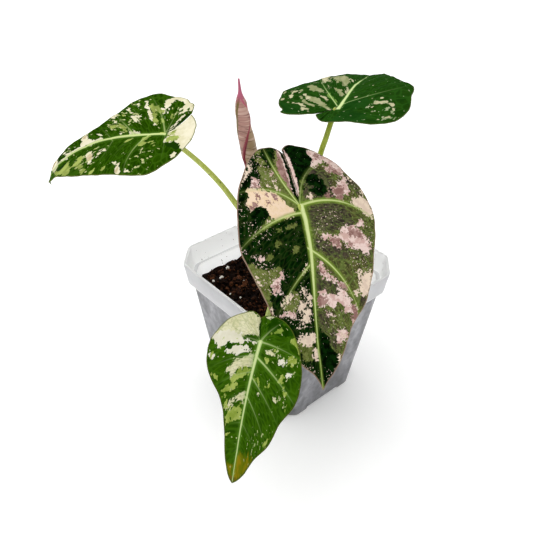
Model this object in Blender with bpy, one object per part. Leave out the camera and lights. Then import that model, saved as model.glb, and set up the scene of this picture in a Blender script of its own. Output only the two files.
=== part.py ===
"""A young variegated alocasia in a square, frosted nursery pot, at its real size.

Metres, +Z up, with the pot's walls facing X and Y. The plant has a frame of its own, turned in the
pot, whose -Y is the side that the largest leaf faces. The origin is the bottom centre of the box
that holds the whole part.
"""
import math
import random

import bmesh
import bpy
from mathutils import Matrix, Vector, noise

MM = 0.001
GAP = 0.3  # air between pieces that touch, in mm like every size below

# Pot: a square tapered pot with cut corners, a deeper band at its rim and four corner feet
POT_HEIGHT = 90.0
RIM_HALF = 50.0
RIM_CHAMFER = 13.4
BAND_HEIGHT = 14.2
BAND_DRAFT = 1.6
BODY_TOP_HALF = 45.9
BODY_TOP_CHAMFER = 12.8
BODY_FOOT_HALF = 37.5
BODY_FOOT_CHAMFER = 14.9
WALL = 1.2
RIM_THICKNESS = 1.4
EDGE_SOFTENING = 0.5
CORNER_SOFTENING = 1.6
FLOOR_RISE = 2.6
FOOT_INNER_EDGE = 14.0
DRAIN_RADIUS = 3.5
DRAIN_SPACING = 20.0
CUTTER_MARGIN = 2.0

# Potting mix: coarse bark and peat, about 20 mm below the rim, with white perlite grains
MIX_LEVEL = 69.0
MIX_RELIEF = 1.7
MIX_LUMP = 7.0
CRUMB_LUMP = 3.0
CRUMB_SHARE = 0.6
MIX_SIDE_STEPS = 12
MIX_CHAMFER_STEPS = 4
MIX_RINGS = 8
PLANT_HOLE_DEPTH = 12.0
BARK_CHIPS = 28
BARK_SEED = 11
BARK_CLEAR_OF_CROWN = 6.0
BARK_CORNER_REACH = 58.0
PERLITE_RADIUS = 1.4
PERLITE_SHOWING = 0.5
PERLITE_PLACES = ((-36.7, 16.7), (-40.0, 6.8), (-33.8, -9.0), (-26.0, 3.1), (-27.5, -12.0),
                  (20.0, 34.0), (33.0, 12.0), (26.0, -20.0), (-8.0, 38.0))

# Plant: how far it is turned in the pot, and the crown that its leaf stalks grow from
PLANT_TURN = 48.5
CROWN_PROFILE = ((57.6, 6.0), (60.0, 8.0), (66.0, 9.2), (73.0, 9.2), (79.0, 8.8), (83.0, 7.4), (84.5, 4.5))
CROWN_SIDES = 28
STALK_SIDES = 10
STALK_STEPS = 4
STALK_TAPER = 0.8

# Leaf blades
BLADE_THICKNESS = 0.8
MIDRIB_DEPTH = 1.3
MIDRIB_HALF_WIDTH = 1.5
SIDE_RIB_DEPTH = 0.3
RIB_TAPER = 0.6
ARCH_EASE = 1.2
VEIN_BOW = 0.16
PUCKER = 0.45
SLIT_DEPTH = 1.5
MARGIN_ANGLES = (0, 4, 9, 16, 26, 40, 58, 78, 98, 118, 138, 158, 178)
LOBE_ANGLE = 118
ROWS = (0.0, 0.06, 0.2, 0.4, 0.6, 0.8, 0.93, 1.0)
COLUMNS_PER_VEIN = 3
SLOPE_STEP = 0.2

# Each leaf: where its stalk meets it, the length of its midrib from there to the tip, its heading in
# the plant's frame, its pitch and roll in degrees, how far the midrib arches down to the tip and the
# lobes dip (or rise, below 0) behind the stalk, how the halves fold up from the midrib and curl down
# again (per 10 mm), and the lean of the slit between the lobes. The margins are distances from the
# stalk at MARGIN_ANGLES from the tip. The veins leave the midrib at vein_starts and meet the left
# margin (on the left of the heading) and the right one at the angles given.
LEAVES = {
    "front": {
        "base": (4.9, -27.2, 144.1), "length": 95.5, "heading": -77.0, "pitch": 38.0, "roll": -16.5,
        "arch": 19.0, "lobe_dip": 22.0, "lobe_reach": 33.0, "fold": 13.0, "curl": 3.65,
        "twist": 2.0, "sway": 2.0, "slit_lean": 0.0,
        "left_margin": (95.5, 89, 79, 67.5, 61.5, 53, 46, 43.5, 40, 36.5, 37, 39, 42),
        "right_margin": (95.5, 86.5, 82, 72, 61.5, 52, 46.5, 39.5, 36.5, 34.5, 35.5, 37.5, 35),
        "vein_starts": (0, 0, 4, 13, 23, 38, 54, 70),
        "left_veins": (150, 79, 66, 50, 24, 15, 9, 4.5), "right_veins": (150, 106, 59, 42, 28, 17, 10, 5),
    },
    "low": {
        "base": (-14.4, -96.0, 112.0), "length": 64.0, "heading": -106.5, "pitch": 24.5, "roll": -4.5,
        "arch": 22.0, "lobe_dip": 7.0, "lobe_reach": 19.0, "fold": 9.0, "curl": 7.5,
        "twist": 1.0, "sway": 8.0, "slit_lean": -13.0,
        "left_margin": (64, 60, 53.5, 48.5, 39.5, 34.5, 27, 21, 17.5, 16, 15, 14.5, 12),
        "right_margin": (64, 56, 43, 34.5, 30, 28, 26, 23.5, 20.5, 18.5, 17, 16, 12),
        "vein_starts": (0, 0, 7, 15, 25, 38, 50),
        "left_veins": (136, 78, 42, 27, 17, 9, 4.5), "right_veins": (132, 82, 48, 31, 19, 10, 5),
    },
    "left": {
        "base": (-66.5, 1.0, 170.5), "length": 83.0, "heading": 181.5, "pitch": 2.5, "roll": -12.0,
        "arch": 55.5, "lobe_dip": -44.5, "lobe_reach": 26.0, "fold": 12.0, "curl": 4.5,
        "twist": -6.0, "sway": -5.5, "slit_lean": -32.5,
        "left_margin": (83, 78, 66.5, 59.5, 52, 44, 38.5, 36.5, 28.5, 24.5, 21, 18, 18),
        "right_margin": (83, 81, 64.5, 45, 38, 34, 34, 34.5, 30, 27, 24.5, 24, 19),
        "vein_starts": (0, 0, 8, 19, 31, 45, 61),
        "left_veins": (142, 90, 56, 36, 22, 12, 6), "right_veins": (128, 69, 48, 31, 19, 11, 5.5),
    },
    "right": {
        "base": (24.5, 25.0, 175.0), "length": 82.0, "heading": 64.5, "pitch": -4.0, "roll": -4.5,
        "arch": 20.5, "lobe_dip": -17.0, "lobe_reach": 30.0, "fold": 13.5, "curl": 6.8,
        "twist": -2.5, "sway": 9.0, "slit_lean": 29.5,
        "left_margin": (82, 78.5, 71.5, 61.5, 52, 44.5, 44.5, 37.5, 32.5, 29, 31, 27.5, 16),
        "right_margin": (82, 79.5, 71, 62, 55, 53, 44, 41, 38, 35.5, 25.5, 20, 13.5),
        "vein_starts": (0, 0, 5, 16, 29, 44, 60),
        "left_veins": (128, 80, 28, 20, 14, 9, 4.5), "right_veins": (140, 84, 38, 26, 17, 10, 5),
    },
}

BLADE_COLOURS = {
    "front": (0.2, 0.16, 0.1), "low": (0.1, 0.24, 0.05),
    "left": (0.1, 0.22, 0.05), "right": (0.05, 0.16, 0.04),
}
STALK_COLOUR = (0.42, 0.55, 0.1)

# Leaf stalks, from inside the crown to the leaf, whose blade gives the last point. Radii at both ends.
STALKS = {
    "front": (((4.5, -3, 73), (5.2, -5, 95), (5.6, -11, 118), (5.3, -20, 134)), 2.3, 1.5),
    "low": (((-0.5, -6, 72), (-1.5, -11, 83), (-5, -28, 91), (-8.5, -46, 95.5), (-10.6, -60, 98.8),
             (-12.8, -80, 104.5)), 2.0, 1.2),
    "left": (((-5.5, -1.5, 73), (-8.5, -1, 90), (-16.5, 0.5, 108), (-28.6, 2.5, 125),
              (-38.2, 2.5, 139.7), (-51, 2.2, 154.8)), 2.2, 1.3),
    "right": (((3.5, 3.5, 73), (6.5, 6.5, 95), (11.5, 11, 124), (17.5, 15, 152),
               (20.4, 17.5, 161.5)), 2.2, 1.5),
    "new": (((-2.5, 3.8, 74), (-6, 5.5, 92), (-13.5, 7.6, 116), (-18.6, 8.9, 134)), 2.0, 1.7),
}

# Furled new leaf: its centre line and its radius there, from the stalk up to the thread-like tip
FURLED_LINE = ((-19.4, 9, 138), (-19.9, 9.1, 142), (-20.8, 9.4, 149), (-22, 9.7, 156), (-23.3, 10, 163),
               (-24.5, 10, 169), (-25.3, 10, 175), (-26.3, 10, 180), (-26.6, 10, 184.5), (-26.9, 10, 187.5),
               (-27, 10, 191), (-27.5, 10, 197.5))
FURLED_RADII = (1.9, 3.0, 4.0, 4.5, 4.4, 4.1, 3.7, 3.2, 2.7, 1.4, 1.0, 0.6)
FURLED_SIDES = 15
FURLED_OVERLAP = 0.16
FURLED_TURN = 0.985


def plain_material(name, colour, roughness, alpha=1.0):
    """One Principled material of a single colour."""
    material = bpy.data.materials.new(name)
    material.use_nodes = True
    shader = material.node_tree.nodes["Principled BSDF"]
    shader.inputs["Base Color"].default_value = (*colour, 1.0)
    shader.inputs["Roughness"].default_value = roughness
    shader.inputs["Metallic"].default_value = 0.0
    shader.inputs["Alpha"].default_value = alpha
    return material


def add_object(name, bm, material, parent=None, smooth_below=40.0):
    """Turns a mesh in mm into a named object in metres, shaded smooth across its softer edges."""
    bmesh.ops.recalc_face_normals(bm, faces=bm.faces)
    bmesh.ops.scale(bm, vec=(MM, MM, MM), verts=bm.verts)
    mesh = bpy.data.meshes.new(name)
    bm.to_mesh(mesh)
    bm.free()
    mesh.shade_smooth()
    mesh.set_sharp_from_angle(angle=math.radians(smooth_below))
    mesh.materials.append(material)
    obj = bpy.data.objects.new(name, mesh)
    bpy.context.scene.collection.objects.link(obj)
    obj.parent = parent
    return obj


def loft(rings):
    """A closed body through rings of equally many points, with flat ends."""
    bm = bmesh.new()
    loops = [[bm.verts.new(point) for point in ring] for ring in rings]
    for lower, upper in zip(loops, loops[1:]):
        for i in range(len(lower)):
            j = (i + 1) % len(lower)
            bm.faces.new((lower[i], lower[j], upper[j], upper[i]))
    bm.faces.new(reversed(loops[0]))
    bm.faces.new(loops[-1])
    return bm


def cut(obj, name, bm, parent=None):
    """Cuts a hidden body out of an object with a live Boolean."""
    cutter = add_object(name, bm, obj.data.materials[0], parent)
    cutter.hide_render = True
    cutter.display_type = "WIRE"
    modifier = obj.modifiers.new(name, "BOOLEAN")
    modifier.operation = "DIFFERENCE"
    modifier.solver = "EXACT"
    modifier.object = cutter


def box_mesh(half_x, half_y, bottom, top):
    """A plain block round the Z axis."""
    corners = ((-half_x, -half_y), (half_x, -half_y), (half_x, half_y), (-half_x, half_y))
    return loft([[Vector((x, y, z)) for x, y in corners] for z in (bottom, top)])


def circle(x, y, z, radius, sides):
    """A level ring of points."""
    turns = [2 * math.pi * i / sides for i in range(sides)]
    return [Vector((x + radius * math.cos(a), y + radius * math.sin(a), z)) for a in turns]


# Pot


def square_ring(half, chamfer, height):
    """A level square with cut corners, each of its eight corners cut once more to soften it."""
    corners = []
    for quarter in range(4):
        turn = Matrix.Rotation(quarter * math.pi / 2, 3, "Z")
        for x, y in ((half, half - chamfer), (half - chamfer, half)):
            corners.append(turn @ Vector((x, y, height)))
    ring = []
    for i, corner in enumerate(corners):
        for neighbour in (corners[i - 1], corners[(i + 1) % len(corners)]):
            ring.append(corner + (neighbour - corner).normalized() * CORNER_SOFTENING)
    return ring


def inset(half, chamfer, distance):
    """The square that lies a distance inside another: its cut corners shrink as well."""
    return half - distance, chamfer - (2 - math.sqrt(2)) * distance


def pot_size_at(height):
    """Half width and corner cut of the pot's body outside at a height below its band."""
    share = height / (POT_HEIGHT - BAND_HEIGHT)
    half = BODY_FOOT_HALF + (BODY_TOP_HALF - BODY_FOOT_HALF) * share
    return half, BODY_FOOT_CHAMFER + (BODY_TOP_CHAMFER - BODY_FOOT_CHAMFER) * share


def make_pot():
    """The pot: one thin moulded wall, stepped out to the band at its rim, on four corner feet."""
    ledge = POT_HEIGHT - BAND_HEIGHT
    soft = EDGE_SOFTENING
    band_foot = RIM_HALF - BAND_DRAFT
    outside = [
        (0, inset(*pot_size_at(0), soft)),
        (soft, pot_size_at(soft)),
        (ledge, pot_size_at(ledge)),
        (ledge, (band_foot - soft, RIM_CHAMFER)),
        (ledge + soft, (band_foot, RIM_CHAMFER)),
        (POT_HEIGHT - soft, (RIM_HALF, RIM_CHAMFER)),
        (POT_HEIGHT, inset(RIM_HALF, RIM_CHAMFER, soft)),
    ]
    inside = [
        (POT_HEIGHT, inset(RIM_HALF, RIM_CHAMFER, RIM_THICKNESS)),
        (POT_HEIGHT - soft, inset(RIM_HALF, RIM_CHAMFER, RIM_THICKNESS + soft / 2)),
        (ledge + WALL, inset(band_foot, RIM_CHAMFER, WALL)),
        (ledge + WALL, inset(*pot_size_at(ledge), WALL)),
        (FLOOR_RISE + WALL, inset(*pot_size_at(FLOOR_RISE + WALL), WALL)),
    ]
    bm = loft([square_ring(*size, height) for height, size in outside + inside])
    pot = add_object("pot", bm, plain_material("frosted_plastic", (0.62, 0.64, 0.66), 0.35, 0.6))
    reach = BODY_FOOT_HALF + CUTTER_MARGIN
    cut(pot, "channel_x", box_mesh(reach, FOOT_INNER_EDGE, -CUTTER_MARGIN, FLOOR_RISE))
    cut(pot, "channel_y", box_mesh(FOOT_INNER_EDGE, reach, -CUTTER_MARGIN, FLOOR_RISE))
    places = ((0, 0), (1, 0), (0, 1), (-1, 0), (0, -1))
    heights = (FLOOR_RISE - CUTTER_MARGIN, FLOOR_RISE + WALL + CUTTER_MARGIN)
    for i, (x, y) in enumerate(places):
        rings = [circle(DRAIN_SPACING * x, DRAIN_SPACING * y, z, DRAIN_RADIUS, 16) for z in heights]
        cut(pot, f"drain_{i}", loft(rings))
    return pot


# Potting mix


def mix_height(x, y):
    """The height of the mix's lumpy surface."""
    lumps = noise.noise(Vector((x / MIX_LUMP, y / MIX_LUMP, 0.5)))
    crumbs = noise.noise(Vector((x / CRUMB_LUMP, y / CRUMB_LUMP, 4.5)))
    return MIX_LEVEL + MIX_RELIEF * (lumps + CRUMB_SHARE * crumbs)


def mix_outline(height):
    """The mix's outline at a height, a gap inside the pot's wall, with points along its sides."""
    size = inset(*pot_size_at(height), WALL + GAP)
    corners = square_ring(*size, height)
    points = []
    for i in range(1, len(corners), 2):
        start = corners[i]
        end = corners[(i + 1) % len(corners)]
        on_side = (i // 2) % 2 == 1
        steps = MIX_SIDE_STEPS if on_side else MIX_CHAMFER_STEPS
        points += [start.lerp(end, step / steps) for step in range(steps)] + [end]
    return points


def surface_under(mix, x, y):
    """The height of the modelled surface of the mix below a place."""
    found, place, _, _ = mix.ray_cast(Vector((x, y, POT_HEIGHT)) * MM, Vector((0, 0, -1)))
    return place.z / MM if found else MIX_LEVEL


def bark_chip(index, draw, mix):
    """A small slab of bark with uneven corners, sunk into the surface of the mix."""
    bm = bmesh.new()
    bmesh.ops.create_cube(bm, size=1.0)
    for vert in bm.verts:
        vert.co += Vector([draw.uniform(-0.16, 0.16) for _ in range(3)])
    size = Vector((draw.uniform(3.5, 7.0), draw.uniform(2.2, 3.6), draw.uniform(1.6, 2.4)))
    bmesh.ops.scale(bm, vec=size, verts=bm.verts)
    tilt = Matrix.Rotation(math.radians(draw.uniform(-18, 18)), 3, "X")
    turn = Matrix.Rotation(draw.uniform(0, 2 * math.pi), 3, "Z")
    bmesh.ops.rotate(bm, matrix=turn @ tilt, verts=bm.verts)
    reach = BODY_FOOT_HALF
    clear = max(radius for _, radius in CROWN_PROFILE) + BARK_CLEAR_OF_CROWN
    while True:
        x, y = draw.uniform(-reach, reach), draw.uniform(-reach, reach)
        if math.hypot(x, y) > clear and abs(x) + abs(y) < BARK_CORNER_REACH:
            break
    bmesh.ops.translate(bm, vec=(x, y, surface_under(mix, x, y)), verts=bm.verts)
    return add_object(f"chip_{index}", bm, plain_material("bark", (0.1, 0.05, 0.03), 0.9))


def perlite_grain(index, place, mix):
    """A white grain, half sunk in the mix. Its place is given in the plant's frame."""
    x, y, _ = Matrix.Rotation(math.radians(PLANT_TURN), 3, "Z") @ Vector((*place, 0))
    bm = bmesh.new()
    bmesh.ops.create_icosphere(bm, subdivisions=1, radius=PERLITE_RADIUS)
    height = surface_under(mix, x, y) + PERLITE_SHOWING
    bmesh.ops.translate(bm, vec=(x, y, height), verts=bm.verts)
    return add_object(f"perlite_{index}", bm, plain_material("perlite", (0.85, 0.83, 0.78), 0.8))


def make_potting_mix():
    """The mix fills the pot. Its surface is lumpy, and the plant's crown stands in a plain hole."""
    hole = max(radius for _, radius in CROWN_PROFILE) + GAP
    outline = mix_outline(MIX_LEVEL)
    bottom = mix_outline(FLOOR_RISE + WALL + GAP)
    rings = []
    for ring in range(MIX_RINGS + 1):
        share = ring / MIX_RINGS
        points = []
        for edge in outline:
            inner = Vector((edge.x, edge.y, 0)).normalized() * hole
            x, y, _ = inner.lerp(Vector((edge.x, edge.y, 0)), share)
            points.append(Vector((x, y, mix_height(x, y))))
        rings.append(points)
    for low, wall, edge in zip(bottom, outline, rings[-1]):
        share = (edge.z - low.z) / (MIX_LEVEL - low.z)
        level = low.lerp(wall, share)
        edge.x, edge.y = level.x, level.y
    hole_floor = [Vector((p.x, p.y, MIX_LEVEL - PLANT_HOLE_DEPTH)) for p in rings[0]]
    bm = loft([hole_floor] + rings + [bottom])
    mix = add_object("potting_mix", bm, plain_material("potting_mix", (0.045, 0.022, 0.014), 0.95))
    bpy.context.view_layer.update()
    bits = bpy.data.collections.new("loose_bits")
    bpy.context.scene.collection.children.link(bits)
    draw = random.Random(BARK_SEED)
    pieces = [bark_chip(i, draw, mix) for i in range(BARK_CHIPS)]
    pieces += [perlite_grain(i, place, mix) for i, place in enumerate(PERLITE_PLACES)]
    for piece in pieces:
        bpy.context.scene.collection.objects.unlink(piece)
        bits.objects.link(piece)
    modifier = mix.modifiers.new("bits", "BOOLEAN")
    modifier.operation = "UNION"
    modifier.solver = "MANIFOLD"
    modifier.operand_type = "COLLECTION"
    modifier.collection = bits
    with bpy.context.temp_override(object=mix, active_object=mix):
        bpy.ops.object.modifier_apply(modifier="bits")
    for piece in pieces:
        bpy.data.objects.remove(piece)
    bpy.data.collections.remove(bits)
    return mix


# Leaves


def smooth_between(places, values, place):
    """A curve through values that never overshoots them (a monotone cubic)."""
    widths = [b - a for a, b in zip(places, places[1:])]
    rises = [(b - a) / width for a, b, width in zip(values, values[1:], widths)]
    slopes = [rises[0]]
    for before, after in zip(rises, rises[1:]):
        slopes.append(2 * before * after / (before + after) if before * after > 0 else 0.0)
    slopes.append(rises[-1])
    i = max(k for k in range(len(widths)) if place >= places[k] or k == 0)
    t = (place - places[i]) / widths[i]
    value = values[i] * (1 - t) ** 2 * (1 + 2 * t) + values[i + 1] * t ** 2 * (3 - 2 * t)
    return value + widths[i] * (slopes[i] * t * (1 - t) ** 2 - slopes[i + 1] * t ** 2 * (1 - t))


def side_name(side):
    """Side 1 is on the left of a leaf's heading, side -1 on its right."""
    return "left" if side > 0 else "right"


def margin_point(leaf, side, angle):
    """A point of the flat leaf's margin: across and along the midrib, at an angle from the tip."""
    last = MARGIN_ANGLES[-1] - side * leaf["slit_lean"]
    stretch = (last - LOBE_ANGLE) / (MARGIN_ANGLES[-1] - LOBE_ANGLE)
    angles = [a if a <= LOBE_ANGLE else LOBE_ANGLE + (a - LOBE_ANGLE) * stretch for a in MARGIN_ANGLES]
    logs = [math.log(radius) for radius in leaf[side_name(side) + "_margin"]]
    angle = min(angle, last)
    radius = math.exp(smooth_between(angles, logs, angle))
    return Vector((side * radius * math.sin(math.radians(angle)), radius * math.cos(math.radians(angle))))


def midrib_stations(leaf):
    """Points every mm along the midrib and back through the lobes, each with the leaf's axes there."""
    heading, pitch, roll = (math.radians(leaf[key]) for key in ("heading", "pitch", "roll"))
    flat = math.cos(pitch)
    along = Vector((math.cos(heading) * flat, math.sin(heading) * flat, -math.sin(pitch)))
    level = Vector((-math.sin(heading), math.cos(heading), 0))
    across = math.cos(roll) * level + math.sin(roll) * along.cross(level)
    up = along.cross(across)

    def axes(s):
        share = max(s, 0) / leaf["length"]
        if s >= 0:
            bend = math.radians(leaf["arch"]) * share ** ARCH_EASE
        else:
            bend = math.radians(leaf["lobe_dip"]) * s / leaf["lobe_reach"]
        sway = math.radians(leaf["sway"]) * share
        twist = math.radians(leaf["twist"]) * share
        forward = math.cos(bend) * (math.cos(sway) * along + math.sin(sway) * across) - math.sin(bend) * up
        sideways = math.cos(sway) * across - math.sin(sway) * along
        normal = forward.cross(sideways).normalized()
        turned = math.cos(twist) * sideways + math.sin(twist) * normal
        return forward, turned, math.cos(twist) * normal - math.sin(twist) * sideways

    stations = {0: (Vector(leaf["base"]), *axes(0)[1:])}
    for step, count in ((1, int(leaf["length"]) + 3), (-1, int(1.6 * leaf["lobe_reach"]))):
        point = Vector(leaf["base"])
        for i in range(count):
            point = point + step * axes(step * (i + 0.5))[0]
            stations[step * (i + 1)] = (point, *axes(step * (i + 1))[1:])
    return stations


def blade_point(leaf, stations, t, s):
    """Bends a point of the flat leaf, t across and s along the midrib, into its place in space."""
    low = math.floor(s)
    point, across, up = (a.lerp(b, s - low) for a, b in zip(stations[low], stations[low + 1]))
    fold = math.radians(leaf["fold"])
    curl = math.radians(leaf["curl"]) / 10
    angle = fold - curl * abs(t)
    out = math.copysign((math.sin(fold) - math.sin(angle)) / curl, t)
    lift = (math.cos(angle) - math.cos(fold)) / curl
    return point + across * out + up * lift


def blade_normal(leaf, stations, t, s):
    """The upward normal of the bent leaf."""
    t_step = SLOPE_STEP if t >= 0 else -SLOPE_STEP
    here = blade_point(leaf, stations, t, s)
    across = (blade_point(leaf, stations, t + t_step, s) - here) * math.copysign(1, t_step)
    along = blade_point(leaf, stations, t, s + SLOPE_STEP) - here
    normal = along.cross(across)
    if t == 0:
        other = here - blade_point(leaf, stations, -SLOPE_STEP, s)
        normal = along.cross(across + other)
    return normal.normalized()


def vein_columns(leaf, side):
    """Where each column of the mesh leaves the midrib, where it meets the margin and its place
    between two veins, from the slit between the lobes round to the tip."""
    last = MARGIN_ANGLES[-1] - side * leaf["slit_lean"]
    starts = [0, *leaf["vein_starts"], leaf["length"]]
    ends = [last, *leaf[side_name(side) + "_veins"], 0]
    columns = []
    for i in range(len(starts) - 1):
        for step in range(COLUMNS_PER_VEIN):
            share = step / COLUMNS_PER_VEIN
            start = starts[i] + (starts[i + 1] - starts[i]) * share
            end = ends[i] + (ends[i + 1] - ends[i]) * share
            columns.append((start, margin_point(leaf, side, end), share))
    columns.append((leaf["length"], Vector((0, leaf["length"])), 0))
    return columns


def flat_point(leaf, side, column, start, margin, row):
    """A point of the flat leaf on a vein that bows towards the stalk on its way to the margin."""
    root = Vector((0, start))
    if column == 0 and row > 0:
        lean = math.radians(leaf["slit_lean"])
        root = SLIT_DEPTH * Vector((math.sin(lean), -math.cos(lean)))
        return root.lerp(margin, (row - ROWS[1]) / (1 - ROWS[1]))
    chord = margin - root
    bow = Vector((chord.y, -chord.x)) * side * VEIN_BOW if column > 0 else Vector((0, 0))
    middle = root + chord / 2 + bow
    return root * (1 - row) ** 2 + 2 * middle * row * (1 - row) + margin * row ** 2


def make_blade(name, leaf, stations, colour):
    """A leaf blade: a thin sheet with a midrib and side ribs beneath, quilted between its veins.

    Both faces have the same triangles. The margin is closed by a wall as high as the blade is thick.
    """
    bm = bmesh.new()
    grids = {}
    for side in (1, -1):
        columns = vein_columns(leaf, side)
        for column, (start, margin, share) in enumerate(columns):
            for row_number, row in enumerate(ROWS):
                t, s = flat_point(leaf, side, column, start, margin, row)
                normal = blade_normal(leaf, stations, t, s)
                bulge = PUCKER * math.sin(math.pi * share) * 4 * row * (1 - row)
                top = blade_point(leaf, stations, t, s) + normal * bulge
                inside = 0 < column < len(columns) - 1 or row_number < 2
                taper = max(0, 1 - max(s, 0) / leaf["length"]) ** RIB_TAPER
                rib = MIDRIB_DEPTH * taper * math.exp(-(t / MIDRIB_HALF_WIDTH) ** 2)
                side_rib = SIDE_RIB_DEPTH * (1 - row) * taper if share == 0 and inside else 0
                depth = max(rib, side_rib) if inside and row < 1 else 0
                under = top - normal * (BLADE_THICKNESS + depth)
                grids[side, column, row_number] = (bm.verts.new(top), bm.verts.new(under))
        faces = []
        last_row = len(ROWS) - 1
        for i in range(len(columns) - 1):
            for j in range(last_row):
                near, far = grids[side, i, j], grids[side, i + 1, j]
                far_out, near_out = grids[side, i + 1, j + 1], grids[side, i, j + 1]
                for face in ((near, far, far_out), (near, far_out, near_out)):
                    faces.append(tuple(pair[0] for pair in face))
                    faces.append(tuple(pair[1] for pair in reversed(face)))
        edge = [grids[side, 0, j] for j in range(1, last_row)]
        edge += [grids[side, i, last_row] for i in range(len(columns))]
        for (top, under), (next_top, next_under) in zip(edge, edge[1:]):
            faces.append((top, under, next_under))
            faces.append((top, next_under, next_top))
        for face in faces:
            bm.faces.new(face if side > 0 else tuple(reversed(face)))
    bmesh.ops.remove_doubles(bm, verts=bm.verts, dist=0.001)
    return add_object(name, bm, plain_material(name, colour, 0.35), smooth_below=50.0)


def stalk_seat(leaf, stations):
    """Where a stalk ends beneath its leaf, a gap below the midrib, and the leaf's normal there."""
    normal = blade_normal(leaf, stations, 0, 0)
    return Vector(leaf["base"]) - normal * (BLADE_THICKNESS + MIDRIB_DEPTH + GAP), normal


# Stalks, crown and furled leaf


def smooth_path(points, steps):
    """A smooth curve through points, with a few steps between each two."""
    points = [Vector(point) for point in points]
    ends = [2 * points[0] - points[1]] + points + [2 * points[-1] - points[-2]]
    path = []
    for a, b, c, d in zip(ends, ends[1:], ends[2:], ends[3:]):
        for step in range(steps):
            t = step / steps
            path.append(0.5 * (2 * b + (c - a) * t + (2 * a - 5 * b + 4 * c - d) * t ** 2
                               + (3 * b - a - 3 * c + d) * t ** 3))
    return path + [points[-1]]


def path_axes(path):
    """The direction of a path at each point, with two axes across it that don't spin."""
    axes = []
    side = Vector((1, 0, 0))
    for i in range(len(path)):
        ahead = (path[min(i + 1, len(path) - 1)] - path[max(i - 1, 0)]).normalized()
        side = (side - ahead * side.dot(ahead)).normalized()
        axes.append((ahead, side, ahead.cross(side)))
    return axes


def tube(path, radii, sides):
    """Rings of points round a path."""
    rings = []
    for point, (_, across, up), radius in zip(path, path_axes(path), radii):
        turns = [2 * math.pi * i / sides for i in range(sides)]
        rings.append([point + radius * (math.cos(a) * across + math.sin(a) * up) for a in turns])
    return rings


def stalk_path(name):
    """A stalk's path up to the leaf, and its radius at each point."""
    points, foot_radius, top_radius = STALKS[name]
    if name == "new":
        end = Vector(FURLED_LINE[0]) - (Vector(FURLED_LINE[1]) - Vector(FURLED_LINE[0])).normalized() * GAP
    else:
        end = stalk_seat(LEAVES[name], midrib_stations(LEAVES[name]))[0]
    path = smooth_path([*points, end], STALK_STEPS)
    share = [i / (len(path) - 1) for i in range(len(path))]
    return path, [foot_radius + (top_radius - foot_radius) * s ** STALK_TAPER for s in share]


def make_stalk(name, parent, colour):
    """A round stalk, its top cut to lie flat under its leaf."""
    path, radii = stalk_path(name)
    rings = tube(path, radii, STALK_SIDES)
    if name in LEAVES:
        seat, normal = stalk_seat(LEAVES[name], midrib_stations(LEAVES[name]))
        ahead = path_axes(path)[-1][0]
        rings[-1] = [p + ahead * ((seat - p).dot(normal) / ahead.dot(normal)) for p in rings[-1]]
    return add_object("stalk_" + name, loft(rings), plain_material("stalk_" + name, colour, 0.4), parent)


def make_crown(parent):
    """The crown in the mix, with a blind socket for the foot of each stalk."""
    rings = [circle(0, 0, height, radius, CROWN_SIDES) for height, radius in CROWN_PROFILE]
    crown = add_object("crown", loft(rings), plain_material("crown", (0.27, 0.33, 0.09), 0.6), parent)
    for name in STALKS:
        path, radii = stalk_path(name)
        path = path[:2 * STALK_STEPS]
        path[0] = path[0] - (path[1] - path[0]).normalized() * GAP
        rings = tube(path, [radius + GAP for radius in radii], STALK_SIDES)
        cut(crown, "socket_" + name, loft(rings), parent)
    return crown


def make_furled_leaf(parent):
    """The new leaf, rolled up tight: its outer margin laps over the roll in a ridge along it."""
    path = [Vector(point) for point in FURLED_LINE]
    rings = []
    for point, (_, across, up), radius in zip(path, path_axes(path), FURLED_RADII):
        ring = []
        for i in range(FURLED_SIDES):
            share = i / (FURLED_SIDES - 1)
            reach = radius * (1 - FURLED_OVERLAP * (1 - share))
            a = 2 * math.pi * share * FURLED_TURN - math.pi / 2
            ring.append(point + reach * (math.cos(a) * across + math.sin(a) * up))
        rings.append(ring)
    return add_object("leaf_new", loft(rings), plain_material("leaf_new", (0.42, 0.22, 0.2), 0.45), parent)


def centre_part(stand):
    """Moves the stand so that the origin is at the bottom centre of the whole part's box."""
    bpy.context.view_layer.update()
    depsgraph = bpy.context.evaluated_depsgraph_get()
    corners = []
    for obj in bpy.data.objects:
        if obj.type == "MESH" and not obj.hide_render:
            mesh = obj.evaluated_get(depsgraph).to_mesh()
            corners += [obj.matrix_world @ vert.co for vert in mesh.vertices]
    for axis in (0, 1):
        values = [corner[axis] for corner in corners]
        stand.location[axis] = -(min(values) + max(values)) / 2
    bpy.context.view_layer.update()


def build():
    """Removes what the scene holds and builds the plant in its pot."""
    for obj in list(bpy.data.objects):
        bpy.data.objects.remove(obj)
    stand = bpy.data.objects.new("stand", None)
    plant = bpy.data.objects.new("plant", None)
    for empty in (stand, plant):
        bpy.context.scene.collection.objects.link(empty)
    plant.parent = stand
    plant.rotation_euler.z = math.radians(PLANT_TURN)
    make_pot()
    make_potting_mix()
    make_crown(plant)
    for name, leaf in LEAVES.items():
        blade = make_blade("leaf_" + name, leaf, midrib_stations(leaf), BLADE_COLOURS[name])
        blade.parent = plant
    make_furled_leaf(plant)
    for name in STALKS:
        make_stalk(name, plant, STALK_COLOUR)
    for obj in bpy.data.objects:
        if obj.type == "MESH" and obj.parent is None:
            obj.parent = stand
    centre_part(stand)


build()
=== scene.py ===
"""A young variegated alocasia in a square frosted nursery pot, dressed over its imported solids.

Sizes are in millimetres until a mesh is made. The pot's walls face X and Y. The plant shares the
pot's axis and is turned in it, so that in its own frame -Y faces the camera.
"""
import math
import random

import bmesh
import bpy
import numpy as np
from mathutils import Matrix, Vector, noise


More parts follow.
